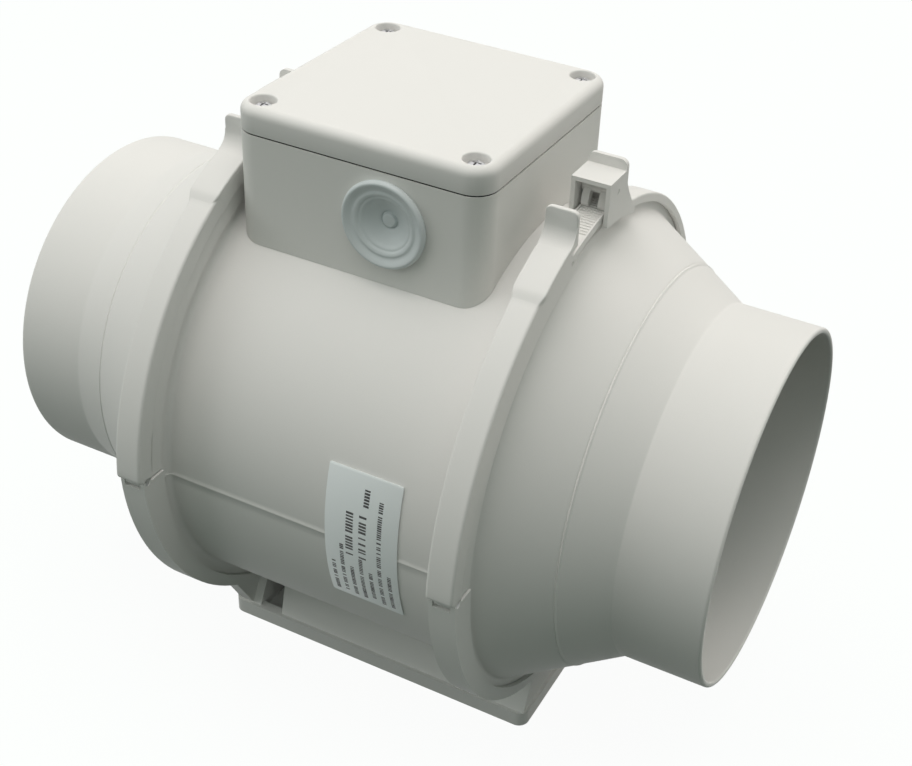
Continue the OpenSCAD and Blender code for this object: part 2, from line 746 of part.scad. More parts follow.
module terminal_box() color([0.88, 0.89, 0.88]) difference() {
    union() {
        difference() {
            at_box(0) linear_extrude(seam_rise - gasket_t/2) box_outline();
            difference() {
                at_box(0) linear_extrude(seam_rise + 5) box_outline(-box_wall);
                tube_x(-half, half, box_in_r);
            }
        }
        difference() {
            union() {
                at_box(0) at_lid_screws()
                    cylinder(r = boss_r, h = seam_rise - gasket_t/2);
                // posts for the terminal block and the cord clamp, and ribs for the capacitor
                for (s = [-1, 1]) at_box(0) translate([block_at[0] + s*block_size[0]*0.36,
                        block_at[1], 0]) cylinder(r = 3, h = block_rise);
                for (s = [-1, 1]) at_box(0) translate([entry_x + s*clamp_post_x, clamp_y, 0])
                    cylinder(r = clamp_post_r, h = clamp_rise);
                for (s = [-1, 1]) at_box(0) translate([cap_at[0] + s*cap_len*0.3 - 1,
                        cap_at[1] - cap_r, 0]) cube([2, 2*cap_r, cap_rise - cap_r*0.55]);
            }
            tube_x(-half, half, box_in_r - 1);
            at_box(cap_rise) translate([cap_at[0] - cap_len, cap_at[1], 0])
                rotate([0, 90, 0]) cylinder(r = cap_r + snug, h = 2*cap_len);
        }
    }
    tube_x(-half, half, box_floor_r);
    at_box(seam_rise - boss_hole_deep) at_lid_screws()
        cylinder(r = screw_r + fit, h = boss_hole_deep + 1);
    for (s = [-1, 1]) at_box(clamp_rise - 7) translate([entry_x + s*clamp_post_x, clamp_y, 0])
        cylinder(r = screw_r + run, h = 8);
    for (s = [-1, 1]) at_box(block_rise - 3) translate([block_at[0] + s*block_size[0]*0.36,
        block_at[1], 0]) cylinder(r = 1.2, h = 4);
    at_box(entry_rise) translate([entry_x, -box_w/2 - 1, 0]) rotate([-90, 0, 0])
        cylinder(r = grommet_hole_r, h = box_wall + 2);
    translate([lead_x, 0, axis_h]) cylinder(r = lead_r + fit, h = box_in_r + 5);
}

module box_lid() color([0.92, 0.92, 0.9]) at_box(seam_rise) difference() {
    union() {
        difference() {
            hull() for (sx = [-1, 1], sy = [-1, 1])
                    translate([sx*(box_len/2 - box_corner_r), sy*(box_w/2 - box_corner_r), 0])
                rotate_extrude($fn = 32) union() {
                    square([box_corner_r, lid_h - lid_round]);
                    translate([box_corner_r - lid_round, lid_h - lid_round])
                        intersection() {
                            circle(r = lid_round, $fn = 32);
                            square(lid_round + 1);
                        }
                    square([box_corner_r - lid_round, lid_h]);
                }
            translate([0, 0, -1]) linear_extrude(lid_h - lid_wall + 1) box_outline(-lid_wall);
        }
        at_lid_screws() cylinder(r = well_r + well_wall, h = lid_h - lid_wall + eps);
    }
    at_lid_screws() {
        translate([0, 0, well_floor]) cylinder(r = well_r, h = lid_h);
        translate([0, 0, -1]) cylinder(r = screw_r + snug, h = lid_h);
    }
}

module lid_gasket() color([0.3, 0.31, 0.32]) at_box(seam_rise - gasket_t/2)
    linear_extrude(gasket_t/2) difference() {
        box_outline(-0.5);
        box_outline(-0.5 - gasket_w);
    }

module lid_screws() color([0.75, 0.75, 0.77])
    at_box(seam_rise + well_floor + screw_head_h) at_lid_screws()
        cross_screw(screw_r, screw_len, screw_head_r, screw_head_h);

module cable_grommet() color([0.75, 0.79, 0.82])
    at_box(entry_rise) translate([entry_x, -box_w/2, 0]) rotate([90, 0, 0])
        rotate_extrude() polygon([[0, -1.6], [grommet_hole_r - 3.6, -1.6],
            [grommet_hole_r - 2.2, -box_wall - 1.6], [grommet_hole_r + 1.4, -box_wall - 1.6],
            [grommet_hole_r + 1.4, -box_wall - snug], [grommet_hole_r - snug, -box_wall - snug],
            [grommet_hole_r - snug, snug], [grommet_r - 0.4, snug], [grommet_r, 0.6],
            [grommet_r, 1.2], [grommet_r - 0.7, 1.9], [grommet_r - 2.6, 2.1],
            [grommet_r - 3.2, grommet_proud - 0.2], [grommet_r - 3.9, grommet_proud],
            [grommet_r - 4.8, grommet_proud - 0.6], [grommet_r - 6.4, 1.4],
            [grommet_r - 8.6, 0.3], [3.2, -0.2], [2.3, 0], [2.2, 1.3], [1.2, 2], [0, 2.1]]);

module terminal_block() color([0.9, 0.88, 0.8])
    at_box(block_rise) translate([block_at[0], block_at[1], 0]) difference() {
        translate([-block_size[0]/2, -block_size[1]/2, 0]) cube(block_size);
        for (i = [0:block_ways - 1], sy = [-1, 1])
            translate([(i + 0.5 - block_ways/2)*block_size[0]/block_ways,
                sy*block_size[1]*0.27, block_size[2] - 4])
                cylinder(r = block_screw_r + 0.4, h = 5);
    }

module terminal_screws() color([0.75, 0.72, 0.6])
    at_box(block_rise + block_size[2] - 1) translate([block_at[0], block_at[1], 0])
        for (i = [0:block_ways - 1], sy = [-1, 1])
            translate([(i + 0.5 - block_ways/2)*block_size[0]/block_ways,
                sy*block_size[1]*0.27, 0])
                translate([0, 0, -3]) difference() {
                    cylinder(r = block_screw_r, h = 3);
                    translate([-block_screw_r, -0.35, 2.2]) cube([2*block_screw_r, 0.7, 1]);
                }

module capacitor() color([0.88, 0.88, 0.86])
    at_box(cap_rise) translate([cap_at[0] - cap_len/2, cap_at[1], 0]) rotate([0, 90, 0])
        cylinder(r = cap_r, h = cap_len);

module cord_clamp() color([0.8, 0.8, 0.78])
    at_box(clamp_rise) translate([entry_x, clamp_y, 0]) difference() {
        union() {
            translate([-clamp_len/2, -clamp_d/2, 0]) cube([clamp_len, clamp_d, clamp_t]);
            translate([0, clamp_d/2, clamp_t/2]) rotate([90, 0, 0])
                cylinder(r = cord_r + 0.5, h = clamp_d);
        }
        translate([-clamp_len, -clamp_d, -2*cord_r]) cube([2*clamp_len, 2*clamp_d, 2*cord_r]);
        translate([0, clamp_d, -clamp_t/2]) rotate([90, 0, 0])
            cylinder(r = cord_r, h = 2*clamp_d);
        for (s = [-1, 1]) translate([s*clamp_post_x, 0, -1])
            cylinder(r = screw_r + snug, h = clamp_t + 2);
    }

module cord_clamp_screws() color([0.7, 0.7, 0.72])
    for (s = [-1, 1]) at_box(clamp_rise + clamp_t + screw_head_h)
        translate([entry_x + s*clamp_post_x, clamp_y, 0])
            cross_screw(screw_r, 8, screw_head_r, screw_head_h);

// ---- Clamp straps ----

module strap_hinge_pins() color([0.7, 0.7, 0.72])
    for (mid = [joint_in, joint_out], f = [-1, 1])
        translate([mid - strap_w/2 + snug, f*hinge_y, axis_h + hinge_rise])
            rotate([0, 90, 0]) cylinder(r = hinge_pin_r, h = strap_w - 2*snug);

// The section that both straps share, for the front; width is about its middle
module strap_channel(mid, a_end) {
    module above() translate([-reach, strap_low]) square([reach, reach]);
    half_w = strap_w/2;
    slab_x(mid - half_w, mid + half_w) intersection() {
        band2d(strap_band_r, strap_r, -10, a_end);
        above();
    }
    for (s = [0, 1]) {
        slab_x(mid - half_w + s*(strap_w - cheek_t), mid - half_w + cheek_t + s*(strap_w - cheek_t))
            difference() {
                intersection() {
                    band2d(cheek_r, strap_band_r + eps, -10, a_end);
                    above();
                }
                translate([-hinge_y, hinge_rise]) circle(r = relief_r);
            }
        slab_x(mid + (s > 0 ? channel/2 : -channel/2 - lip_t),
                mid + (s > 0 ? channel/2 + lip_t : -channel/2)) difference() {
            intersection() {
                band2d(strap_lip_r, cheek_r + eps, -10, a_end);
                above();
            }
            translate([-hinge_y, hinge_rise]) circle(r = relief_r);
        }
    }
    // knuckle on the hinge pin and the arm that carries it
    slab_x(mid - channel/2 + fit, mid + channel/2 - fit) difference() {
        union() {
            translate([-hinge_y, hinge_rise]) circle(r = knuckle_r);
            translate([-hinge_y - knuckle_r, hinge_rise]) square([knuckle_r + arm_in, arm_top]);
            intersection() {
                translate([-strap_r, strap_low]) square([strap_r - hinge_y + arm_in, arm_top]);
                band2d(hinge_y - arm_in, strap_band_r + eps, -10, 20);
            }
        }
        translate([-hinge_y, hinge_rise]) circle(r = hinge_pin_r + run);
    }
}

module front_strap(mid, latch) color([0.9, 0.9, 0.88]) {
    fillet_y = -tab_y - tab_fillet;
    fillet_z = sqrt(pow(pad_r + tab_fillet, 2) - pow(fillet_y, 2));
    touch = pad_r/(pad_r + tab_fillet);
    end_a = acos((strap_end_y + 3)/strap_r);
    strap_channel(mid, end_a);
    slab_x(latch - pad_w/2, latch + pad_w/2) {
        // raised pad
        intersection() {
            band2d(strap_band_r, pad_r, pad_from, pad_to);
            translate([-reach, 0]) square([reach - strap_end_y, reach]);
        }
        // finger tab with its fillet
        difference() {
            polygon([[fillet_y*touch, fillet_z*touch], [-tab_y, fillet_z],
                [-tab_y, tab_top - 1], [-tab_y + 0.5, tab_top], [-strap_end_y - 0.5, tab_top],
                [-strap_end_y, tab_top - 1], [-strap_end_y, tongue_top],
                [-tab_y - 1, tongue_top]]);
            translate([fillet_y, fillet_z]) circle(r = tab_fillet);
        }
    }
    slab_x(latch - tongue_w/2, latch + tongue_w/2) {
        // block behind the tab, down to the tongue
        intersection() {
            ring2d(tongue_low, strap_r);
            translate([-strap_end_y - 5, 0]) square([5, reach]);
        }
        // toothed tongue
        intersection() {
            ring2d(tongue_low, tongue_top);
            translate([-strap_end_y - 1, 0]) square([strap_end_y + 1 + tongue_tip, reach]);
        }
        for (a = [first_tooth:tooth_step:last_tooth]) polygon([for (p = [[-0.05, -0.2],
                [tooth_step*0.2, tooth_h], [tooth_step*0.85, -0.2]])
            (tongue_top + p[1])*[-cos(a + p[0]), sin(a + p[0])]]);
    }
}

module buckle2d()
    polygon([[-buckle_front, buckle_low], [-buckle_front, buckle_top],
        [buckle_back, buckle_top], [buckle_back, plate_top - 0.6],
        [buckle_back + 0.4, plate_top], [buckle_back + plate_t, plate_top],
        [buckle_back + plate_t + 0.3, buckle_top - 2], [buckle_back + plate_t + 1.2, buckle_top - 6.6],
        [buckle_back + plate_t + 3, rear_band[1]], [buckle_tail - 2.8, rear_low[1] + 1.2],
        [buckle_tail, sqrt(pow(rear_low[1], 2) - pow(buckle_tail, 2))],
        [buckle_tail, sqrt(pow(rear_low[0], 2) - pow(buckle_tail, 2))],
        [7.5, sqrt(pow(rear_low[0], 2) - pow(7.5, 2)) + 0.3], [buckle_back, rear_band[0]]]);

module rear_strap(mid, latch) color([0.9, 0.9, 0.88]) {
    mirror([0, 1, 0]) {
        strap_channel(mid, rear_step_at);
        // step from the full section down to the low one, which hugs the flanges up to the buckle
        slab_x(mid - strap_w/2, mid + strap_w/2) {
            band2d(rear_low[0], strap_r, rear_step_at - 2, rear_step_at + eps);
            band2d(rear_low[0], rear_low[1], rear_step_at - eps, rear_low_to);
        }
        for (s = [-1, 1]) slab_x(mid + (s > 0 ? channel/2 : -strap_w/2),
                mid + (s > 0 ? strap_w/2 : -channel/2))
            band2d(strap_lip_r, rear_low[0] + eps, rear_step_at - 2, rear_low_to);
    }
    difference() {
        union() {
            for (s = [0, 1]) slab_x(latch - buckle_w/2 + s*(buckle_w - buckle_wall),
                    latch - buckle_w/2 + buckle_wall + s*(buckle_w - buckle_wall)) buckle2d();
            slab_x(latch - buckle_w/2, latch + buckle_w/2) {
                translate([-buckle_front, buckle_top - buckle_wall])
                    square([buckle_len + eps, buckle_wall]);
                intersection() {
                    buckle2d();
                    translate([buckle_back, rear_band[0]])
                        square([plate_t + eps, plate_top]);
                }
            }
            slab_x(latch - buckle_w/2 + eps, latch + buckle_w/2 - eps) intersection() {
                buckle2d();
                translate([buckle_back + plate_t - eps, 0])
                    square([buckle_tail - buckle_back - plate_t + 1, rear_band[1]]);
            }
        }
        translate([latch - buckle_w, pawl_y, axis_h + pawl_z]) rotate([0, 90, 0])
            cylinder(r = pawl_pin_r + run, h = 2*buckle_w);
        // slot for the pawl's lever
        translate([latch - pawl_lever_w/2 - 2*fit, buckle_back - 1,
                axis_h + lever_z + lever_t + 0.8 - lever_slot_h])
            cube([pawl_lever_w + 4*fit, buckle_tail, lever_slot_h]);
    }
}

module latch_pawl(latch) color([0.88, 0.88, 0.86]) {
    inner = buckle_w - 2*buckle_wall - 2*fit;
    translate([latch - buckle_w/2 + 0.2, pawl_y, axis_h + pawl_z]) rotate([0, 90, 0])
        cylinder(r = pawl_pin_r, h = buckle_w - 0.4);
    translate([latch - inner/2, pawl_y, axis_h + pawl_z]) rotate([0, 90, 0])
        cylinder(r = pawl_barrel_r, h = inner);
    for (s = [-1, 1]) slab_x(latch + s*prong_x - prong_w/2, latch + s*prong_x + prong_w/2)
        polygon([[pawl_y - pawl_barrel_r + 0.1, pawl_z], [pawl_y - pawl_barrel_r - 1, pawl_z - 2],
            [prong_y - 0.6, prong_z + 1.4], [prong_y, prong_z], [prong_y + 0.9, prong_z + 0.2],
            [pawl_y + 0.4, pawl_z - pawl_barrel_r + 0.2]]);
    slab_x(latch - pawl_lever_w/2, latch + pawl_lever_w/2)
        polygon([[pawl_y, pawl_z + 0.5], [pawl_y + 2, pawl_z + 0.3],
            [buckle_back - 0.6, lever_z + lever_t], [lever_end, lever_z + lever_t],
            [lever_end, lever_z], [buckle_back - 1, lever_z], [pawl_y + 1.5, pawl_z - 1.6],
            [pawl_y, pawl_z - 1.6]]);
}

inlet_latch_x = joint_in - inlet_latch_shift;

module inlet_strap_front() front_strap(joint_in, inlet_latch_x);

module inlet_strap_rear() rear_strap(joint_in, inlet_latch_x);

module inlet_latch_pawl() latch_pawl(inlet_latch_x);

module outlet_strap_front() front_strap(joint_out, joint_out);

module outlet_strap_rear() rear_strap(joint_out, joint_out);

module outlet_latch_pawl() latch_pawl(joint_out);

module rating_label() color([0.95, 0.95, 0.94])
    slab_x(label_mid - label_len/2, label_mid + label_len/2)
        band2d(casing_r + parting_h + snug, casing_r + parting_h + 0.35, label_from, label_to);

foot_cradle();
casing();
inlet_cone();
outlet_cone();
inlet_seal();
outlet_seal();
guide_vanes();
motor_housing();
motor_end_cap();
motor_screws();
stator_core();
windings();
front_bearing();
rear_bearing();
tail_cone();
motor_leads();
impeller();
impeller_nut();
motor_shaft();
rotor_core();
terminal_box();
box_lid();
lid_gasket();
lid_screws();
cable_grommet();
terminal_block();
terminal_screws();
capacitor();
cord_clamp();
cord_clamp_screws();
strap_hinge_pins();
inlet_strap_front();
inlet_strap_rear();
inlet_latch_pawl();
outlet_strap_front();
outlet_strap_rear();
outlet_latch_pawl();
rating_label();
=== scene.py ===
# %% [markdown]
# # An inline duct fan, from a plain frame to a finished look
# The fan is a round casing between two cones, held in a foot cradle by two clamp straps, with a
# terminal box on top. A construction model of it, at its real size, is loaded first and never
# changes. This notebook gives that frame its surface: it remakes the shells that are seen, with
# the small radii that moulded plastic has, and it gives every piece a procedural material.

# %% Load the frame
import json
import math

import bmesh
import bpy
from mathutils import Matrix, Vector


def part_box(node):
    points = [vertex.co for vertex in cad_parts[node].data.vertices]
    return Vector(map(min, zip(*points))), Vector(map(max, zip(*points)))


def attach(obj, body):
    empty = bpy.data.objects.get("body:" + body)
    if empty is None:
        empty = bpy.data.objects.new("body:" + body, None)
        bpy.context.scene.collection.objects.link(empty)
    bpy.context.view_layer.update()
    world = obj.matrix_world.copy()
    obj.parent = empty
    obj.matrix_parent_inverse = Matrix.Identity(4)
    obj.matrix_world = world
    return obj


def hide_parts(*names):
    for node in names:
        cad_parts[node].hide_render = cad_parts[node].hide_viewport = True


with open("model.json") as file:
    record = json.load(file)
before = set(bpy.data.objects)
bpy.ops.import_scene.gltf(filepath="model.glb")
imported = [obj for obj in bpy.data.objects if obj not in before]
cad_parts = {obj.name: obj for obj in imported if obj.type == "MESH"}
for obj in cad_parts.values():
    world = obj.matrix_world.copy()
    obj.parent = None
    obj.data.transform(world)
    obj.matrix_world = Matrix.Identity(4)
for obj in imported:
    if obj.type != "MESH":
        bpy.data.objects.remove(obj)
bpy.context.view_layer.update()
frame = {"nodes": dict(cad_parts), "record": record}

print("pieces in the frame:", len(frame["nodes"]))

# %% [markdown]
# ## Sizes that the pieces share
# Everything round on this fan turns about one line, the duct axis, so a point is easiest to give
# as a place along the duct, a radius and an angle. The frame says where the axis and the two
# joints are. The rest are heights over a neighbour, in millimetres, as a drawing would give them.

# %% The duct axis, the joints and the strap
MM = 0.001
mounts = {mount["name"]: mount for mount in frame["record"]["mounts"]}
axis_z = mounts["inlet_spigot"]["pos_m"][2]/MM
spigot_r = mounts["inlet_spigot"]["dims"]["r_mm"]


def reach_of(node, side):
    """Lowest (0) or highest (1) corner of a construction piece, in millimetres."""
    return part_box(node)[side]/MM


mouth_in = reach_of("inlet_cone", 0).x
mouth_out = reach_of("outlet_cone", 1).x
casing_x = (reach_of("casing", 0).x, reach_of("casing", 1).x)
joint_in = (casing_x[0] + reach_of("inlet_cone", 1).x)/2
joint_out = (casing_x[1] + reach_of("outlet_cone", 0).x)/2
flange_r = reach_of("outlet_cone", 1).y
flange_t = 2.2
casing_r = flange_r - 5.1
casing_wall = 2.2
strap_r = flange_r + 11.5
strap_half = 4.55
print("axis height", round(axis_z, 2), "joints at", round(joint_in, 2), round(joint_out, 2))

# %% [markdown]
# ## Helpers for moulded shapes
# Real mouldings have no knife edges: each corner is a small arc, and that arc is what catches the
# light. So an outline is written as a few corners with a radius each, and `rounded` turns them
# into arcs. It also leaves a point just past each arc, so that smooth shading bends there and
# not over the whole face. The alternative, one bevel over a finished mesh, gives every edge the
# same width, which a moulding doesn't have.

# %% Outlines with an arc at each corner
guard = 0.35


def rounded(corners, steps=4):
    """Corners are (u, v) or (u, v, radius). Returns the closed outline's points."""
    outline = []
    for i, corner in enumerate(corners):
        own = corner[2] if len(corner) > 2 else 0
        here = Vector(corner[:2])
        back = Vector(corners[i - 1][:2]) - here
        ahead = Vector(corners[(i + 1) % len(corners)][:2]) - here
        half = back.angle(ahead)/2
        if own <= 0:
            outline.append(here)
            continue
        cut = min(own/math.tan(half), 0.48*back.length, 0.48*ahead.length)
        own = cut*math.tan(half)
        back_way, ahead_way = back.normalized(), ahead.normalized()
        centre = here + (back_way + ahead_way).normalized()*own/math.sin(half)
        first = here + back_way*cut - centre
        last = here + ahead_way*cut - centre
        start = math.atan2(first.y, first.x)
        sweep_by = (math.atan2(last.y, last.x) - start + math.pi) % (2*math.pi) - math.pi
        gap = min(guard, 0.4*(back.length/2 - cut), 0.4*(ahead.length/2 - cut))
        gap = max(gap, 0.01)
        outline.append(here + back_way*(cut + gap))
        for k in range(steps + 1):
            turn = start + sweep_by*k/steps
            outline.append(centre + Vector((math.cos(turn), math.sin(turn)))*own)
        outline.append(here + ahead_way*(cut + gap))
    return outline


def arc(centre, radius, start, end, steps):
    """Points of an arc, in degrees."""
    turns = [math.radians(start + (end - start)*k/steps) for k in range(steps + 1)]
    return [Vector((centre[0] + radius*math.cos(t), centre[1] + radius*math.sin(t)))
            for t in turns]


def both_sides(mid, side, steps=3):
    """A section from its corners on one side: mirrored, rounded and moved to its middle."""
    other = [(-corner[0], *corner[1:]) for corner in reversed(side)]
    return [(mid + u, r) for u, r in rounded(side + other, steps)]


def ease(share):
    """From 0 to 1 with a soft start and a soft end, and held there outside."""
    share = max(0.0, min(1.0, share))
    return share*share*(3 - 2*share)


# %% Meshes from points, sweeps and extrusions
def in_scene(name, data):
    """A new object for a mesh, a camera or a lamp, linked to the scene."""
    item = bpy.data.objects.new(name, data)
    bpy.context.scene.collection.objects.link(item)
    return item


def solid(name, points, faces):
    """A mesh object from points in millimetres."""
    mesh = bpy.data.meshes.new(name)
    mesh.from_pydata([tuple(MM*c for c in point) for point in points], [], faces)
    return tidy(in_scene(name, mesh))


def tidy(piece, smooth=38):
    """Merge doubles, turn the normals outward and keep edges above `smooth` degrees sharp."""
    mesh = piece.data
    bm = bmesh.new()
    bm.from_mesh(mesh)
    bmesh.ops.remove_doubles(bm, verts=bm.verts, dist=0.002*MM)
    bmesh.ops.dissolve_degenerate(bm, edges=bm.edges, dist=0.001*MM)
    bmesh.ops.recalc_face_normals(bm, faces=bm.faces)
    bm.to_mesh(mesh)
    bm.free()
    mesh.shade_smooth()
    mesh.set_sharp_from_angle(angle=math.radians(smooth))
    return piece


def on_duct(x, radius, angle):
    """A point around the duct, with the angle in degrees above the front horizontal."""
    turn = math.radians(angle)
    return Vector((x, -radius*math.cos(turn), axis_z + radius*math.sin(turn)))


def loft(name, rings, whole=False):
    """Skin rings of equally many points, and close the two ends unless the loft is whole."""
    count, size = len(rings), len(rings[0])
    faces = []
    for i in range(count if whole else count - 1):
        a, b = i*size, (i + 1) % count*size
        faces += [(a + k, a + (k + 1) % size, b + (k + 1) % size, b + k) for k in range(size)]
    if not whole:
        faces += [tuple(range(size)), tuple(range((count - 1)*size, count*size))]
    return solid(name, [point for ring in rings for point in ring], faces)


def sweep(name, outline_at, angles, whole=False):
    """Carry an outline of (x, radius) about the duct axis; it may change with the angle."""
    return loft(name, [[on_duct(x, r, a) for x, r in outline_at(a)] for a in angles], whole)


def extrude(name, outline, start, end, along="x"):
    """Extrude (y, height) along x, or (x, height) along y; heights are above the axis."""
    def place(point, depth):
        if along == "x":
            return (depth, point[0], axis_z + point[1])
        return (point[0], depth, axis_z + point[1])
    return loft(name, [[place(point, depth) for point in outline] for depth in (start, end)])


def spun(name, profile, place, steps=48):
    """Turn (radius, height) points about the local Z of the matrix `place`."""
    rings = [[place @ Vector((r*math.cos(t), r*math.sin(t), h)) for r, h in profile]
             for t in [2*math.pi*k/steps for k in range(steps)]]
    return loft(name, rings, whole=True)


def freeze(piece):
    """Replace a piece's mesh by what its modifiers make of it."""
    evaluated = piece.evaluated_get(bpy.context.evaluated_depsgraph_get())
    mesh = bpy.data.meshes.new_from_object(evaluated)
    piece.modifiers.clear()
    piece.data = mesh
    return piece


def combine(piece, others, operation, smooth=38):
    """Add ("UNION") or cut away ("DIFFERENCE") other closed solids, then remove them."""
    for other in others:
        step = piece.modifiers.new(operation.title(), "BOOLEAN")
        step.operation = operation
        step.object = other
        step.solver = "EXACT"
    freeze(piece)
    for other in others:
        bpy.data.objects.remove(other)
    return tidy(piece, smooth)


def join(piece, others):
    """Gather separate closed shells in one object."""
    bm = bmesh.new()
    for item in (piece, *others):
        bm.from_mesh(item.data)
    bm.to_mesh(piece.data)
    bm.free()
    for other in others:
        bpy.data.objects.remove(other)
    return piece


def soften(piece, width, segments=2):
    """Round every edge where two faces turn by more than 40 degrees."""
    bevel = piece.modifiers.new("Soft edges", "BEVEL")
    bevel.width = width*MM
    bevel.segments = segments
    bevel.limit_method = "ANGLE"
    bevel.angle_limit = math.radians(40)
    return tidy(freeze(piece))


def flatten(piece):
    """Shade each soft edge from the large faces beside it, so that flat walls look flat."""
    piece.modifiers.new("Flat walls", "WEIGHTED_NORMAL").keep_sharp = True
    return freeze(piece)


def mirrored(piece):
    """Swap front and rear, about the plane through the duct axis."""
    piece.data.transform(Matrix.Scale(-1, 4, (0, 1, 0)))
    return tidy(piece)


# %% [markdown]
# ## Materials
# The fan is nearly all one warm white plastic, so its looks rest on small things: a fine moulded
# grain that breaks up the highlight, and a slow drift of tone that keeps a big shell from looking
# painted. Both are used by many materials, so each is a node group with named inputs. An image
# texture could carry them too, but a procedural pattern needs no unwrapping and holds at any zoom.

# %% Shader group: moulded grain
def group(name, inputs, outputs):
    """An empty shader group with its sockets, its input node and its output node."""
    tree = bpy.data.node_groups.new(name, "ShaderNodeTree")
    for label, kind, value in inputs:
        socket = tree.interface.new_socket(name=label, in_out="INPUT", socket_type=kind)
        socket.default_value = value
    for label, kind in outputs:
        tree.interface.new_socket(name=label, in_out="OUTPUT", socket_type=kind)
    return tree, tree.nodes.new("NodeGroupInput"), tree.nodes.new("NodeGroupOutput")


def add(tree, kind, inputs=None, **properties):
    """A node with its properties set, and then the values on its own inputs."""
    node = tree.nodes.new(kind)
    for key, value in properties.items():
        setattr(node, key, value)
    for key, value in (inputs or {}).items():
        node.inputs[key].default_value = value
    return node


def maths(tree, operation, inputs=None):
    """A math node."""
    return add(tree, "ShaderNodeMath", inputs, operation=operation)


def wire(tree, *links):
    """Each link is a node, its output, the next node and its input."""
    for source, output, target, entry in links:
        tree.links.new(source.outputs[output], target.inputs[entry])


FLOAT, COLOR, VECTOR = "NodeSocketFloat", "NodeSocketColor", "NodeSocketVector"
grain, ins, outs = group("Moulded grain", [("Grain per metre", FLOAT, 2600.0),
                                           ("Waviness", FLOAT, 0.25),
                                           ("Stretch", VECTOR, (1.0, 1.0, 1.0))],
                         [("Height", FLOAT)])
where = add(grain, "ShaderNodeTexCoord")
scaled = add(grain, "ShaderNodeVectorMath", operation="MULTIPLY")
fine = add(grain, "ShaderNodeTexNoise", {"Detail": 2.0})
wave = add(grain, "ShaderNodeTexNoise", {"Scale": 55.0, "Detail": 1.0})
blend = add(grain, "ShaderNodeMix", data_type="FLOAT")
wire(grain, (where, "Object", scaled, 0), (ins, "Stretch", scaled, 1),
     (scaled, "Vector", fine, "Vector"), (ins, "Grain per metre", fine, "Scale"),
     (where, "Object", wave, "Vector"), (ins, "Waviness", blend, "Factor"),
     (fine, "Fac", blend, "A"), (wave, "Fac", blend, "B"), (blend, "Result", outs, "Height"))
print("group:", grain.name)

# %% Shader group: tone drift
drift, ins, outs = group("Tone drift", [("Colour", COLOR, (0.8, 0.8, 0.8, 1.0)),
                                        ("Shade", COLOR, (0.7, 0.7, 0.68, 1.0)),
                                        ("Amount", FLOAT, 0.3),
                                        ("Patches per metre", FLOAT, 9.0),
                                        ("Roughness", FLOAT, 0.45),
                                        ("Roughness spread", FLOAT, 0.1)],
                         [("Colour", COLOR), ("Roughness", FLOAT)])
where = add(drift, "ShaderNodeTexCoord")
patches = add(drift, "ShaderNodeTexNoise", {"Detail": 4.0, "Roughness": 0.6})
share = maths(drift, "MULTIPLY")
tone = add(drift, "ShaderNodeMix", data_type="RGBA")
centred = maths(drift, "SUBTRACT", {1: 0.5})
spread = maths(drift, "MULTIPLY_ADD")
wire(drift, (where, "Object", patches, "Vector"), (ins, "Patches per metre", patches, "Scale"),
     (patches, "Fac", share, 0), (ins, "Amount", share, 1), (share, "Value", tone, "Factor"),
     (ins, "Colour", tone, "A"), (ins, "Shade", tone, "B"), (tone, "Result", outs, "Colour"),
     (patches, "Fac", centred, 0), (centred, "Value", spread, 0),
     (ins, "Roughness spread", spread, 1), (ins, "Roughness", spread, 2),
     (spread, "Value", outs, "Roughness"))
print("group:", drift.name)


# %% One material from the two groups
def finish(name, colour, shade, rough, bump=0.02, metal=0.0, drift_by=0.3, patches=9.0,
           rough_spread=0.1, grain_size=2600.0, stretch=(1, 1, 1), specular=0.5):
    """A finished material. Colours are linear; bump is the grain's height in millimetres."""
    material = bpy.data.materials.new(name)
    material.use_nodes = True
    tree = material.node_tree
    shader = tree.nodes["Principled BSDF"]
    shader.inputs["Metallic"].default_value = metal
    shader.inputs["Specular IOR Level"].default_value = specular
    tones = add(tree, "ShaderNodeGroup", {
        "Colour": (*colour, 1), "Shade": (*shade, 1), "Amount": drift_by,
        "Patches per metre": patches, "Roughness": rough, "Roughness spread": rough_spread},
        node_tree=drift)
    surface = add(tree, "ShaderNodeGroup",
                  {"Grain per metre": grain_size, "Stretch": stretch}, node_tree=grain)
    bumps = add(tree, "ShaderNodeBump", {"Distance": bump*MM})
    wire(tree, (tones, "Colour", shader, "Base Color"), (tones, "Roughness", shader, "Roughness"),
         (surface, "Height", bumps, "Height"), (bumps, "Normal", shader, "Normal"))
    return material


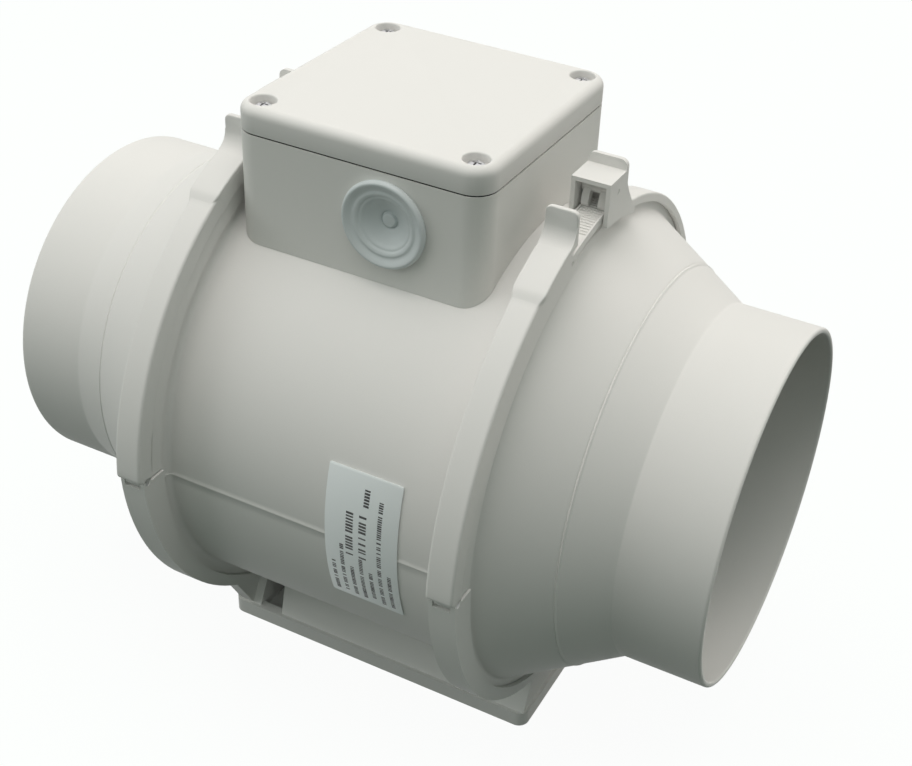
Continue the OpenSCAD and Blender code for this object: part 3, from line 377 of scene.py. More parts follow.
materials = {
    "white_plastic": finish("warm white satin plastic", (0.80, 0.788, 0.77), (0.71, 0.704, 0.685),
                            0.55, bump=0.03, rough_spread=0.12, specular=0.12),
    "box_plastic": finish("greyish white box plastic", (0.75, 0.745, 0.72), (0.67, 0.67, 0.645),
                          0.55, bump=0.03, specular=0.2),
    "inner_plastic": finish("light grey inner plastic", (0.55, 0.55, 0.52), (0.42, 0.42, 0.40),
                            0.5, bump=0.03),
    "impeller_plastic": finish("dark grey impeller plastic", (0.045, 0.05, 0.055),
                               (0.07, 0.075, 0.08), 0.48, bump=0.04),
    "block_plastic": finish("ivory block plastic", (0.68, 0.64, 0.52), (0.55, 0.52, 0.43), 0.32),
    "seal_rubber": finish("black seal rubber", (0.018, 0.018, 0.018), (0.04, 0.04, 0.038), 0.72,
                          bump=0.06, specular=0.35),
    "lead_rubber": finish("dark lead sleeve", (0.03, 0.03, 0.033), (0.05, 0.05, 0.05), 0.6),
    "grommet_rubber": finish("bluish grey grommet rubber", (0.60, 0.645, 0.65),
                             (0.52, 0.565, 0.57), 0.5, bump=0.03, patches=40.0, specular=0.45),
    "motor_aluminium": finish("die cast aluminium", (0.60, 0.61, 0.62), (0.42, 0.43, 0.44), 0.42,
                              metal=1.0, bump=0.08, grain_size=1500.0),
    "core_steel": finish("stacked steel laminations", (0.22, 0.22, 0.23), (0.12, 0.11, 0.10), 0.45,
                         metal=1.0, bump=0.12, grain_size=900.0, stretch=(3.0, 0.05, 0.05)),
    "bearing_steel": finish("ground bearing steel", (0.62, 0.62, 0.63), (0.5, 0.5, 0.5), 0.22,
                            metal=1.0, bump=0.01, stretch=(6.0, 0.4, 0.4)),
    "screw_steel": finish("zinc plated steel", (0.70, 0.70, 0.71), (0.50, 0.50, 0.49), 0.3,
                          metal=1.0, patches=300.0, drift_by=0.6, bump=0.02),
    "winding_copper": finish("enamelled copper wire", (0.50, 0.19, 0.07), (0.30, 0.10, 0.04), 0.3,
                             metal=1.0, bump=0.25, grain_size=1400.0, stretch=(1.0, 0.15, 0.15)),
    "terminal_brass": finish("plated brass", (0.62, 0.50, 0.24), (0.45, 0.36, 0.18), 0.3,
                             metal=1.0, bump=0.02),
    "label_film": finish("pale grey label film", (0.88, 0.92, 0.93), (0.81, 0.85, 0.86), 0.38,
                         bump=0.008, drift_by=0.5, patches=25.0),
}
print("materials:", len(materials))


# %% Give every construction piece its material
slot_of = {part["node"]: part["material_slot"] for part in frame["record"]["subparts"]}
for node, piece in frame["nodes"].items():
    for material_slot in piece.material_slots:
        material_slot.material = materials[slot_of[node]]
body_of = {node: body for body, nodes in frame["record"]["behaviour"]["bodies"].items()
           for node in nodes}


def stand_for(piece, node):
    """A finished piece takes a construction piece's place, body and material slot."""
    if not piece.data.materials:
        piece.data.materials.append(materials[slot_of[node]])
    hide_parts(node)
    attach(piece, body_of[node])
    print(piece.name, "for", node, "-", len(piece.data.polygons), "faces")


# %% [markdown]
# ## The camera, the light and the ground
# The camera stands high at the front, to the right of the fan, as someone would who looks down at
# it on a bench. The light is one large soft lamp overhead, with a weak fill from each side, and a
# sky that is pale above and dark greenish below, so the top is bright, the side walls fall to a
# mid grey and the underside is dark. The ground and the world look white to the camera alone, and
# the ground keeps the shadow. That keeps a white shell readable against white: its edges are
# drawn by shade and not by an outline. Stronger lamps would only clip the top to white.

# %% Camera
def look(azimuth, elevation, roll):
    """Axes of a camera that looks at the part from there, in degrees."""
    turn, rise, tilt = (math.radians(angle) for angle in (azimuth, elevation, roll))
    back = Vector((math.sin(turn)*math.cos(rise), -math.cos(turn)*math.cos(rise), math.sin(rise)))
    right = Vector((0, 0, 1)).cross(back).normalized()
    up = back.cross(right)
    return (math.cos(tilt)*right + math.sin(tilt)*up, math.cos(tilt)*up - math.sin(tilt)*right,
            back)


camera_data = bpy.data.cameras.new("Camera")
camera_data.sensor_width = 36.0
camera_data.lens = 58.04
camera_data.shift_x = -0.0811
camera_data.shift_y = -0.0198
camera = in_scene("Camera", camera_data)
axes = look(azimuth=23.88, elevation=33.56, roll=4.24)
camera.matrix_world = Matrix(axes).transposed().to_4x4()
camera.location = (0.20698, -0.37877, 0.29989 + axis_z*MM)
bpy.context.scene.camera = camera
bpy.context.scene.view_settings.view_transform = "Standard"
print("camera at", [round(c, 3) for c in camera.location])


# %% Lamps
def lamp(name, place, target, size, power, colour):
    """A soft square lamp that points at the target."""
    data = bpy.data.lights.new(name, "AREA")
    data.size = size
    data.energy = power
    data.color = colour
    light = in_scene(name, data)
    light.location = place
    light.rotation_euler = (Vector(target) - Vector(place)).to_track_quat("-Z", "Y").to_euler()


middle = (0, 0, axis_z*MM)
lamp("Overhead", (-0.08, -0.07, 1.35), middle, 1.0, 7.7, (1.0, 0.925, 0.905))
lamp("Right fill", (0.9, 1.2, 0.82), middle, 0.9, 6.2, (1.0, 0.91, 0.86))
lamp("Left fill", (-1.1, -0.66, 0.62), middle, 0.9, 3.6, (0.98, 0.99, 0.98))


# %% World and ground that are white to the camera alone
def seen_directly(tree):
    """1 where the camera sees this itself, or in a mirror or through glass."""
    path = add(tree, "ShaderNodeLightPath")
    either = maths(tree, "MAXIMUM")
    any_of = maths(tree, "MAXIMUM")
    wire(tree, (path, "Is Camera Ray", either, 0), (path, "Is Glossy Ray", either, 1),
         (either, "Value", any_of, 0), (path, "Is Transmission Ray", any_of, 1))
    return any_of


world = bpy.data.worlds.new("Studio")
bpy.context.scene.world = world
world.use_nodes = True
tree = world.node_tree
sky = tree.nodes["Background"]
direction = add(tree, "ShaderNodeTexCoord")
height = add(tree, "ShaderNodeSeparateXYZ")
rise = add(tree, "ShaderNodeMapRange", {"From Min": -0.25, "From Max": 0.9})
shade = add(tree, "ShaderNodeMix", {"A": (0.034, 0.052, 0.041, 1), "B": (0.59, 0.64, 0.60, 1)},
            data_type="RGBA")
sky_tone = add(tree, "ShaderNodeMix", {"B": (1, 1, 1, 1)}, data_type="RGBA")
wire(tree, (direction, "Generated", height, "Vector"), (height, "Z", rise, "Value"),
     (rise, "Result", shade, "Factor"), (shade, "Result", sky_tone, "A"),
     (seen_directly(tree), "Value", sky_tone, "Factor"), (sky_tone, "Result", sky, "Color"))

ground_finish = bpy.data.materials.new("Ground")
ground_finish.use_nodes = True
tree = ground_finish.node_tree
tree.nodes.remove(tree.nodes["Principled BSDF"])
matt = add(tree, "ShaderNodeBsdfDiffuse", {"Color": (0.036, 0.056, 0.042, 1)})
glow = add(tree, "ShaderNodeEmission")
glow_share = maths(tree, "MULTIPLY", {1: 0.95})
both = add(tree, "ShaderNodeAddShader")
wire(tree, (seen_directly(tree), "Value", glow_share, 0), (glow_share, "Value", glow, "Strength"),
     (matt, "BSDF", both, 0), (glow, "Emission", both, 1),
     (both, "Shader", tree.nodes["Material Output"], "Surface"))
far = 4000
ground = solid("ground", [(-far, -far, 0), (far, -far, 0), (far, far, 0), (-far, far, 0)],
               [(0, 1, 2, 3)])
ground.data.materials.append(ground_finish)

# %% [markdown]
# ## Inlet and outlet cones
# Each cone is one turned moulding: a flange, a sloping shell with a small step half-way, and a
# straight spigot that the duct slides over. A lathe shape follows a rule, so Geometry Nodes make
# it: the piece holds only its outline, and the tree carries that outline round a circle. `Screw`
# or `Spin` would do the same, but the tree keeps its inputs named and can be reused as it is.

# %% Geometry Nodes: a turned shell
def geometry_tree(name, inputs):
    """An empty Geometry Nodes tree with named inputs and one mesh output."""
    tree = bpy.data.node_groups.new(name, "GeometryNodeTree")
    for label, kind, value in inputs:
        socket = tree.interface.new_socket(name=label, in_out="INPUT", socket_type=kind)
        if value is not None:
            socket.default_value = value
    tree.interface.new_socket(name="Mesh", in_out="OUTPUT", socket_type="NodeSocketGeometry")
    return tree, tree.nodes.new("NodeGroupInput"), tree.nodes.new("NodeGroupOutput")


def close_tree(tree, last, output, ins, outs):
    """Every tree ends the same way: real geometry, with its material."""
    real = add(tree, "GeometryNodeRealizeInstances")
    coat = add(tree, "GeometryNodeSetMaterial")
    wire(tree, (last, output, real, "Geometry"), (real, "Geometry", coat, "Geometry"),
         (ins, "Material", coat, "Material"), (coat, "Geometry", outs, "Mesh"))


def run_tree(piece, tree, values):
    """Put a tree on a piece, set its inputs by their identifiers, and keep the result."""
    step = piece.modifiers.new(tree.name, "NODES")
    step.node_group = tree
    for item in tree.interface.items_tree:
        if item.in_out == "INPUT" and item.name in values:
            step[item.identifier] = values[item.name]
    return freeze(piece)


GEOMETRY, INTEGER, MATERIAL = "NodeSocketGeometry", "NodeSocketInt", "NodeSocketMaterial"
turned, ins, outs = geometry_tree("Turned shell", [
    ("Outline", GEOMETRY, None), ("Steps", INTEGER, 96), ("Base radius", FLOAT, 0.01),
    ("Axis height", FLOAT, 0.0), ("Material", MATERIAL, None)])
line = add(turned, "GeometryNodeMeshToCurve")
circle = add(turned, "GeometryNodeCurvePrimitiveCircle")
skin = add(turned, "GeometryNodeCurveToMesh")
lift = add(turned, "ShaderNodeCombineXYZ")
lay_down = add(turned, "GeometryNodeTransform", {"Rotation": (0, math.radians(90), 0)})
wire(turned, (ins, "Outline", line, "Mesh"), (ins, "Steps", circle, "Resolution"),
     (ins, "Base radius", circle, "Radius"), (circle, "Curve", skin, "Curve"),
     (line, "Curve", skin, "Profile Curve"), (ins, "Axis height", lift, "Z"),
     (lift, "Vector", lay_down, "Translation"), (skin, "Mesh", lay_down, "Geometry"))
close_tree(turned, lay_down, "Geometry", ins, outs)
print("tree:", turned.name, len(turned.nodes), "nodes")


round_steps = 192


def turned_shell(name, outline, slot):
    """A shell about the duct axis from its (x, radius) outline."""
    circle_r = 10
    mesh = bpy.data.meshes.new(name)
    count = len(outline)
    mesh.from_pydata([(MM*(r - circle_r), -MM*x, 0) for x, r in outline],
                     [(k, (k + 1) % count) for k in range(count)], [])
    return tidy(run_tree(in_scene(name, mesh), turned, {
        "Steps": round_steps, "Base radius": circle_r*MM, "Axis height": axis_z*MM,
        "Material": materials[slot]}))


# %% Turn the two cones
cone_wall, seam_step, flange_gap = 2.0, 0.5, 0.55


def cone_outline(side, joint, root_r, seam_x, seam_r, neck_x, neck_round):
    """Outline of a cone; side is -1 at the inlet and 1 at the outlet."""
    flange = joint + side*flange_gap
    back = flange + side*flange_t
    mouth = mouth_out if side > 0 else mouth_in
    spigot_in = spigot_r - cone_wall
    return rounded([
        (flange, root_r - cone_wall, 0.3), (flange, flange_r, 0.4), (back, flange_r, 0.7),
        (back, root_r, 1.2), (seam_x - side*1.35, seam_r + 0.32, 0.1),
        (seam_x - side*0.95, seam_r - 0.15, 0.05), (seam_x - side*0.5, seam_r + 0.12, 0.12),
        (seam_x, seam_r - seam_step, 0.12), (neck_x, spigot_r, neck_round),
        (mouth, spigot_r, 1.0), (mouth, spigot_in, 0.7), (neck_x, spigot_in, neck_round + 2),
        (seam_x, seam_r - seam_step - cone_wall, 2),
        (back, root_r - cone_wall - seam_step, 3)])


cones = {
    "inlet_cone": cone_outline(-1, joint_in, root_r=casing_r + 0.8, seam_x=mouth_in + 37,
                               seam_r=spigot_r + 4, neck_x=mouth_in + 25, neck_round=6),
    "outlet_cone": cone_outline(1, joint_out, root_r=casing_r + 1.8, seam_x=mouth_out - 44,
                                seam_r=spigot_r + 9, neck_x=mouth_out - 29.6, neck_round=1.2)}
for node, outline in cones.items():
    stand_for(turned_shell(node + "_shell", outline, "white_plastic"), node)

# %% [markdown]
# ## Casing
# The casing is the tube between the joints. Its mould closed along a line just under the duct
# axis, and left a thin ridge there, front and rear, that climbs over the flanges. A ridge could be
# a separate strip, but it is part of the moulding, so here the casing's own outline swells a
# little at those two angles: a sweep whose outline depends on the angle.

# %% Sweep the casing with its parting lines
parting_h = 0.13
parting_at = (-1.4, 181.4)
ridge_flat, ridge_end = 0.17, 0.30


def parting_lift(angle):
    """Height of the parting ridge: full up to ridge_flat degrees away, nothing past ridge_end."""
    away = min(abs(angle - at) for at in parting_at)
    return parting_h*max(0.0, min(1.0, (ridge_end - away)/(ridge_end - ridge_flat)))


def casing_outline(angle):
    lift = parting_lift(angle)
    tube, rim, inner = casing_r + lift, flange_r + lift, casing_r - casing_wall
    left, right = casing_x
    return rounded([
        (left, inner, 0.3), (left, rim, 0.4), (left + flange_t + lift, rim, 0.6),
        (left + flange_t + lift, tube, 1.8), (right - flange_t - lift, tube, 1.8),
        (right - flange_t - lift, rim, 0.6), (right, rim, 0.4), (right, inner, 0.3)])


around = [360/round_steps*k - 90 for k in range(round_steps)]
around = [a for a in around if min(abs(a - at) for at in parting_at) > 0.5]
around += [at + away for at in parting_at
           for away in (-ridge_end, -ridge_flat, ridge_flat, ridge_end)]
casing = sweep("casing_shell", casing_outline, sorted(around), whole=True)
stand_for(casing, "casing")

# %% [markdown]
# ## Terminal box, foot and the parts behind the mouths
# These have many small features that the construction model already holds exactly, such as
# screw posts, fixing holes and the curved underside of the box. Remaking them would only risk a
# mistake, so a copy of the construction mesh is merged, its flat triangles are joined, and its
# edges get a small radius. The copy stands for the node.

# %% Refine copies of construction meshes
def refined(node, width):
    """A construction piece's shape, merged and with soft edges, or merged alone at width 0."""
    piece = in_scene(node + "_finished", frame["nodes"][node].data.copy())
    bm = bmesh.new()
    bm.from_mesh(piece.data)
    bmesh.ops.remove_doubles(bm, verts=bm.verts, dist=0.001*MM)
    if width:
        bmesh.ops.dissolve_limit(bm, angle_limit=math.radians(0.3), verts=bm.verts,
                                 edges=bm.edges)
    bm.to_mesh(piece.data)
    bm.free()
    return flatten(soften(piece, width)) if width else tidy(piece)


for node, width in (("terminal_box", 0.5), ("foot_cradle", 0.4), ("guide_vanes", 0.25),
                    ("impeller", 0.25), ("impeller_nut", 0.4), ("tail_cone", 0),
                    ("inlet_latch_pawl", 0.12), ("outlet_latch_pawl", 0.12)):
    stand_for(refined(node, width), node)

# %% [markdown]
# ## Clamp straps
# Two straps hold the casing and cones into the cradle. Each has a front and a rear half. A half is
# a channel: a flat crown, two cheeks, and a thin lip under each cheek that grips the flanges. A
# channel that follows a circle is a sweep again, and its outline changes on the way: the crown
# rounds off at its lower end, and a slit opens between cheek and lip beside the hinge.

# %% Sweep the channel of a strap
strap_band_t = 1.8
cheek_r = strap_r - 6.3
lip_r = flange_r - 0.7
lip_out = 3.95
channel_half = 3.05
strap_start, even_from = 2.2, 3.4
fine_step, even_step = 0.12, 1.1
end_round = 2.1
knuckle_r, knuckle_half = 1.9, 2.75
slit_from, slit_to, slit_deep = 2.6, 12.5, 0.75
pin_r, pin_hole_r = 1.0, 1.05
hinge_y = -reach_of("strap_hinge_pins", 0).y - pin_r
hinge_z = reach_of("strap_hinge_pins", 0).z + pin_r - axis_z


def channel_outline(mid, angle):
    """Cross-section of the channel at an angle above the hinge."""
    past = math.radians(angle - strap_start)*strap_r
    gone = max(0.0, end_round - past)
    crown = strap_r - (end_round - math.sqrt(max(0.0, end_round**2 - gone**2)))
    along = (angle - slit_from)/(slit_to - slit_from)
    slit = 0.02 + slit_deep*math.sin(math.pi*along)**0.7 if 0 < along < 1 else 0.02
    side = [(strap_half, crown, 0.8), (strap_half, cheek_r, 0.4),
            (lip_out - slit, cheek_r), (lip_out - slit, cheek_r - 0.9), (lip_out, cheek_r - 1.2),
            (lip_out, lip_r, 0.2), (channel_half, lip_r, 0.2),
            (channel_half, min(strap_r - strap_band_t, crown - 0.7), 0.3)]
    return both_sides(mid, side)


def strap_channel(name, mid, end):
    """Channel from the hinge up to an angle, with the knuckle that turns on the hinge pin."""
    fine = [strap_start + fine_step*k for k in range(9)]
    even = [even_from + even_step*k for k in range(int((end - even_from)/even_step))]
    channel = sweep(name, lambda angle: channel_outline(mid, angle), fine + even + [end])
    centre, arm_top = (-hinge_y, hinge_z), hinge_z + 6.6
    outline = arc(centre, knuckle_r, 180, 360, 12) + [
        Vector((centre[0] + knuckle_r + 0.3, arm_top)), Vector((centre[0] - knuckle_r, arm_top))]
    arm = extrude(name + "_arm", outline, mid - knuckle_half, mid + knuckle_half)
    pin_hole = extrude(name + "_hole", arc(centre, pin_hole_r, 0, 345, 23), mid - 4, mid + 4)
    combine(arm, [pin_hole], "DIFFERENCE")
    return combine(channel, [soften(arm, 0.2)], "UNION")


# %% [markdown]
# ### The finger tab, the tongue and its ribs
# The front half ends in a latch. A pad thickens the crown, a finger tab stands up from it on a
# generous fillet, and behind the tab a narrow tongue with raised rims reaches into the buckle. The
# tongue's fine ribs repeat at a fixed angle, so Geometry Nodes place them.

# %% Geometry Nodes: ribs along an arc
ribs, ins, outs = geometry_tree("Ribs along an arc", [
    ("Rib", GEOMETRY, None), ("Count", INTEGER, 10), ("First angle", FLOAT, 0.0),
    ("Step angle", FLOAT, 0.01), ("Radius", FLOAT, 0.1), ("Axis height", FLOAT, 0.1),
    ("Middle", FLOAT, 0.0), ("Material", MATERIAL, None)])
row = add(ribs, "GeometryNodeMeshLine")
number = add(ribs, "GeometryNodeInputIndex")
turn = maths(ribs, "MULTIPLY_ADD")
sine = maths(ribs, "SINE")
cosine = maths(ribs, "COSINE")
rise = maths(ribs, "MULTIPLY_ADD")
forward = maths(ribs, "MULTIPLY")
minus = maths(ribs, "MULTIPLY", {1: -1.0})
spot = add(ribs, "ShaderNodeCombineXYZ")
facing = add(ribs, "ShaderNodeCombineXYZ")
quarter = maths(ribs, "SUBTRACT", {0: math.pi/2})
placed = add(ribs, "GeometryNodeSetPosition")
copies = add(ribs, "GeometryNodeInstanceOnPoints")
wire(ribs, (ins, "Count", row, "Count"), (number, "Index", turn, 0), (ins, "Step angle", turn, 1),
     (ins, "First angle", turn, 2), (turn, "Value", sine, 0), (turn, "Value", cosine, 0),
     (sine, "Value", rise, 0), (ins, "Radius", rise, 1), (ins, "Axis height", rise, 2),
     (cosine, "Value", forward, 0), (ins, "Radius", forward, 1), (forward, "Value", minus, 0),
     (ins, "Middle", spot, "X"), (minus, "Value", spot, "Y"), (rise, "Value", spot, "Z"),
     (turn, "Value", quarter, 1), (quarter, "Value", facing, "X"),
     (row, "Mesh", placed, "Geometry"), (spot, "Vector", placed, "Position"),
     (placed, "Geometry", copies, "Points"), (ins, "Rib", copies, "Instance"),
     (facing, "Vector", copies, "Rotation"))
close_tree(ribs, copies, "Instances", ins, outs)
print("tree:", ribs.name, len(ribs.nodes), "nodes")

# %% Build a front strap
tab_y, tab_t = 30.4, 1.8
tab_top = strap_r + 5.3
tab_fillet = 6.0
pad_half, pad_r = 5.3, strap_r + 0.8
swell_from, swell_by, pad_full = 57.1, 3.2, 60.7
tongue_r, tongue_half, tongue_from = strap_r - 6.3, 4.5, 71.4
rim_in, rim_top = tongue_half - 0.6, tongue_r + 1.7
block_half = tongue_half - 0.8
first_rib, last_rib, rib_step, rib_h = 78.0, 89.5, 0.82, 0.4


def pad_outline(mid, angle):
    """The pad swells out of the crown over three degrees."""
    share = ease((angle - swell_from)/swell_by)
    half = strap_half - 0.5 + share*(pad_half - strap_half + 0.5)
    top = strap_r - 0.3 + share*(pad_r - strap_r + 0.3)
    under = strap_r - strap_band_t + 0.3
    return both_sides(mid, [(half, top, 0.45), (half, under, 0.3)])


def degrees_at(y, radius):
    """Angle above the front horizontal at which a circle is y in front of the duct axis."""
    return math.degrees(math.acos(y/radius))


def finger_tab(name, latch):
    """The tab's plate, and the fillet that carries it on the pad."""
    plate = extrude(name + "_tab", rounded(
        [(latch - pad_half, tongue_r), (latch - pad_half, tab_top, 2.0),
         (latch + pad_half, tab_top, 2.0), (latch + pad_half, tongue_r)], steps=6),
        -tab_y, tab_t - tab_y, along="y")
    soften(plate, 0.45, segments=3)
    centre_y, inside_y = -tab_y - tab_fillet + 0.05, -tab_y + 0.9
    centre_z = math.sqrt((pad_r + tab_fillet)**2 - centre_y**2)
    toward = math.atan2(-centre_z, -centre_y)
    below = Vector((math.cos(toward), math.sin(toward)))*(tab_fillet + 1.2)
    fillet = extrude(name + "_fillet", [
        *arc((centre_y, centre_z), tab_fillet, math.degrees(toward), 0, 10),
        Vector((inside_y, centre_z)), Vector((inside_y, tongue_r + 3)),
        Vector((centre_y, centre_z)) + below],
        latch - pad_half + 0.02, latch + pad_half - 0.02)
    return [plate, fillet]


def tongue(name, latch):
    """The tongue with its two rims, and the block that joins it to the crown."""
    block = sweep(name + "_block", lambda angle: [
        (latch - block_half, tongue_r - 1), (latch - block_half, strap_r - 0.5),
        (latch + block_half, strap_r - 0.5), (latch + block_half, tongue_r - 1)],
        [69.3, 70.3, 71.3, 72.2])
    outline = both_sides(latch, [
        (-tongue_half, tongue_r - 1, 0.2), (-tongue_half, rim_top, 0.2), (-rim_in, rim_top, 0.2),
        (-rim_in, tongue_r + 1, 0.1)], steps=2)
    strip = sweep(name + "_tongue", lambda angle: outline,
                  [tongue_from + 0.96*k for k in range(21)])
    return [block, strip]


def tongue_ribs(name, latch):
    """The ribs across the tongue, each a low wedge."""
    rib = solid(name + "_ribs", [(u, v, w) for u in (-rim_in + 0.05, rim_in - 0.05)
                                 for v, w in ((-0.45, -0.2), (-0.2, rib_h), (0.5, -0.2))],
                [(0, 1, 2), (3, 5, 4), (0, 3, 4, 1), (1, 4, 5, 2), (2, 5, 3, 0)])
    return tidy(run_tree(rib, ribs, {
        "Count": int((last_rib - first_rib)/rib_step) + 1, "First angle": math.radians(first_rib),
        "Step angle": math.radians(rib_step), "Radius": (tongue_r + 1)*MM,
        "Axis height": axis_z*MM, "Middle": latch*MM, "Material": materials["white_plastic"]}))


def front_strap(name, mid, latch):
    """A front half about the joint at `mid`, with its latch about `latch`."""
    channel = strap_channel(name, mid, degrees_at(tab_y + 1.2, strap_r))
    pad_end = degrees_at(tab_y - 0.4, strap_r)
    pad = sweep(name + "_pad", lambda angle: pad_outline(latch, angle),
                [swell_from + 0.4*k for k in range(9)]
                + [pad_full + (pad_end - pad_full)*k/10 for k in range(11)])
    latch_parts = [pad, *finger_tab(name, latch), *tongue(name, latch)]
    strap = combine(channel, latch_parts, "UNION", smooth=35)
    return join(strap, [tongue_ribs(name, latch)])


strap_places = (("inlet", joint_in, joint_in - 0.6), ("outlet", joint_out, joint_out))
for end, mid, latch in strap_places:
    node = end + "_strap_front"
    stand_for(front_strap(node + "_shell", mid, latch), node)

# %% [markdown]
# ### The rear straps and their buckles
# The rear half starts as the same channel, mirrored. Just above the hinge it steps down to a low
# band that hugs the flanges. The band ends in the buckle: a small box, open at the front, with a
# taller plate at its back. The buckle has flat walls of one thickness, so it is built from
# extruded outlines joined with Booleans, and only then softened, so that the inner corners stay
# crisp.

# %% Build a rear strap
band_in, band_out = tongue_r - 0.8, tongue_r + 2.4
step_at, step_by, past_step, low_to = 12.0, 1.6, 12.4, 84.5
low_in, low_out = flange_r + 0.3, flange_r + 2.5
buckle_half, buckle_wall = 6.5, 1.4
buckle_front, buckle_back = -10.0, 2.0
buckle_low = tongue_r - 2.3
buckle_top = buckle_low + 14.4
plate_t, plate_top = 1.6, buckle_top + 3.4
slope_end, buckle_tail = 9.4, 12.5
pivot_y, pivot_z = -3.6, buckle_top - 4.8


def low_outline(mid, angle):
    """The low section: a band on the flanges' rims, with a cheek on each side of them."""
    outside = low_out + (strap_r - 0.12 - low_out)*ease((step_at - angle)/step_by)
    half = strap_half - 0.04
    side = [(half, outside, 0.6), (half, lip_r, 0.3), (channel_half, lip_r, 0.2),
            (channel_half, low_in, 0.2)]
    return both_sides(mid, side)


def behind(y, radius, lift=0.0):
    """The point (y, height) of a circle at a distance y behind the axis, lifted a little."""
    return (y, math.sqrt(radius**2 - y**2) + lift)


def buckle(name, latch):
    """Side walls, roof and rear plate of the buckle, in (y, height) outlines."""
    wall_outline = rounded([
        (buckle_front, buckle_low, 0.4), (buckle_front, buckle_top, 0.5),
        (buckle_back + 0.6, buckle_top, 0.4), (buckle_back + plate_t, buckle_top - 0.3, 0.5),
        (buckle_back + plate_t + 0.2, buckle_top - 5.0, 3.0),
        (buckle_back + plate_t + 2.6, band_out + 0.8, 4.0), (slope_end, low_out + 1.4, 3.0),
        behind(buckle_tail, low_out, -0.05), behind(buckle_tail, lip_r, 0.05),
        (*behind(8.0, low_in), 3.0), (buckle_back, flange_r + 1.5, 4.0)])
    walls = [extrude(name + "_wall", wall_outline, latch + side*buckle_half,
                     latch + side*(buckle_half - buckle_wall)) for side in (-1, 1)]
    roof = extrude(name + "_roof", [
        (buckle_front, buckle_top - buckle_wall), (buckle_front, buckle_top),
        (buckle_back + 0.5, buckle_top), (buckle_back + 0.5, buckle_top - buckle_wall)],
        latch - buckle_half + 0.05, latch + buckle_half - 0.05)
    plate = extrude(name + "_plate", rounded([
        (latch - buckle_half, band_in), (latch - buckle_half, plate_top, 2.4),
        (latch + buckle_half, plate_top, 2.4), (latch + buckle_half, band_in)], steps=6),
        buckle_back, buckle_back + plate_t, along="y")
    slot_half, slot_low, slot_top = 3.1, buckle_top - 9.8, buckle_top - 4.6
    lever_slot = extrude(name + "_slot", [
        (latch - slot_half, slot_low), (latch - slot_half, slot_top),
        (latch + slot_half, slot_top), (latch + slot_half, slot_low)],
        buckle_back - 1, buckle_tail + 1, along="y")
    tail = extrude(name + "_tail", [
        (buckle_back + 0.3, band_in), (buckle_back + 0.3, band_out),
        (buckle_back + plate_t + 2.4, band_out - 0.3), (slope_end, low_out + 1.1),
        (buckle_tail - 0.2, behind(buckle_tail, low_out, -0.15)[1]),
        (buckle_tail - 0.2, behind(buckle_tail, low_in, 0.2)[1]), behind(7.5, low_in, 0.5)],
        latch - buckle_half + 0.4, latch + buckle_half - 0.4)
    body = combine(walls[0], [walls[1], roof, plate, tail], "UNION")
    pivot_hole = extrude(name + "_pivot", arc((pivot_y, pivot_z), pin_hole_r, 0, 345, 23),
                         latch - 10, latch + 10)
    return soften(combine(body, [lever_slot, pivot_hole], "DIFFERENCE"), 0.3)


def rear_strap(name, mid, latch):
    """A rear half about the joint at `mid`, with its buckle about `latch`."""
    channel = strap_channel(name, mid, step_at - 0.2)
    low = sweep(name + "_low", lambda angle: low_outline(mid, angle),
                [step_at - 2 + 0.2*k for k in range(12)]
                + [past_step + k*(low_to - past_step)/64 for k in range(1, 65)])
    strap = mirrored(combine(channel, [low], "UNION"))
    return flatten(combine(strap, [buckle(name + "_buckle", latch)], "UNION", smooth=35))


for end, mid, latch in strap_places:
    node = end + "_strap_rear"
    stand_for(rear_strap(node + "_shell", mid, latch), node)

# %% [markdown]
# ## Lid
# The lid is a shallow tray with a generous radius round its top, and a well in each corner where a
# screw sits below the surface. The tray is a stack of rounded rectangles: each level is the same
# outline moved inwards a little. The wells are turned cutters with a flared top, because the rim
# of a moulded well is round, and that rim is what shows as a light ring.

# %% Build the lid
lid_low, lid_high = reach_of("box_lid", 0), reach_of("box_lid", 1)
lid_h = lid_high.z - lid_low.z
lid_mid = (lid_low + lid_high)/2
lid_half = (lid_high - lid_low)/2
lid_corner, lid_round, lid_wall = 8.0, 3.0, 2.4
well_at, well_r, well_floor = 7.3, 4.2, lid_h - 3.2
boss_r, screw_hole_r, flare = 5.2, 1.6, 0.5


def box_ring(inset, height):
    """The box's outline, moved inwards, at a height above the lid's lower edge."""
    x, y, corner = lid_half.x - inset, lid_half.y - inset, max(lid_corner - inset, 0.5)
    outline = rounded([(x, y, corner), (-x, y, corner), (-x, -y, corner), (x, -y, corner)],
                      steps=8)
    return [Vector((lid_mid.x + u, lid_mid.y + v, lid_low.z + height)) for u, v in outline]


def at_lid_corners(make):
    """Build something at each of the four screws; `make` takes a place and a number."""
    spots = [(sx*(lid_half.x - well_at), sy*(lid_half.y - well_at))
             for sx in (-1, 1) for sy in (-1, 1)]
    return [make(Matrix.Translation((lid_mid.x + x, lid_mid.y + y, lid_low.z)), number)
            for number, (x, y) in enumerate(spots)]


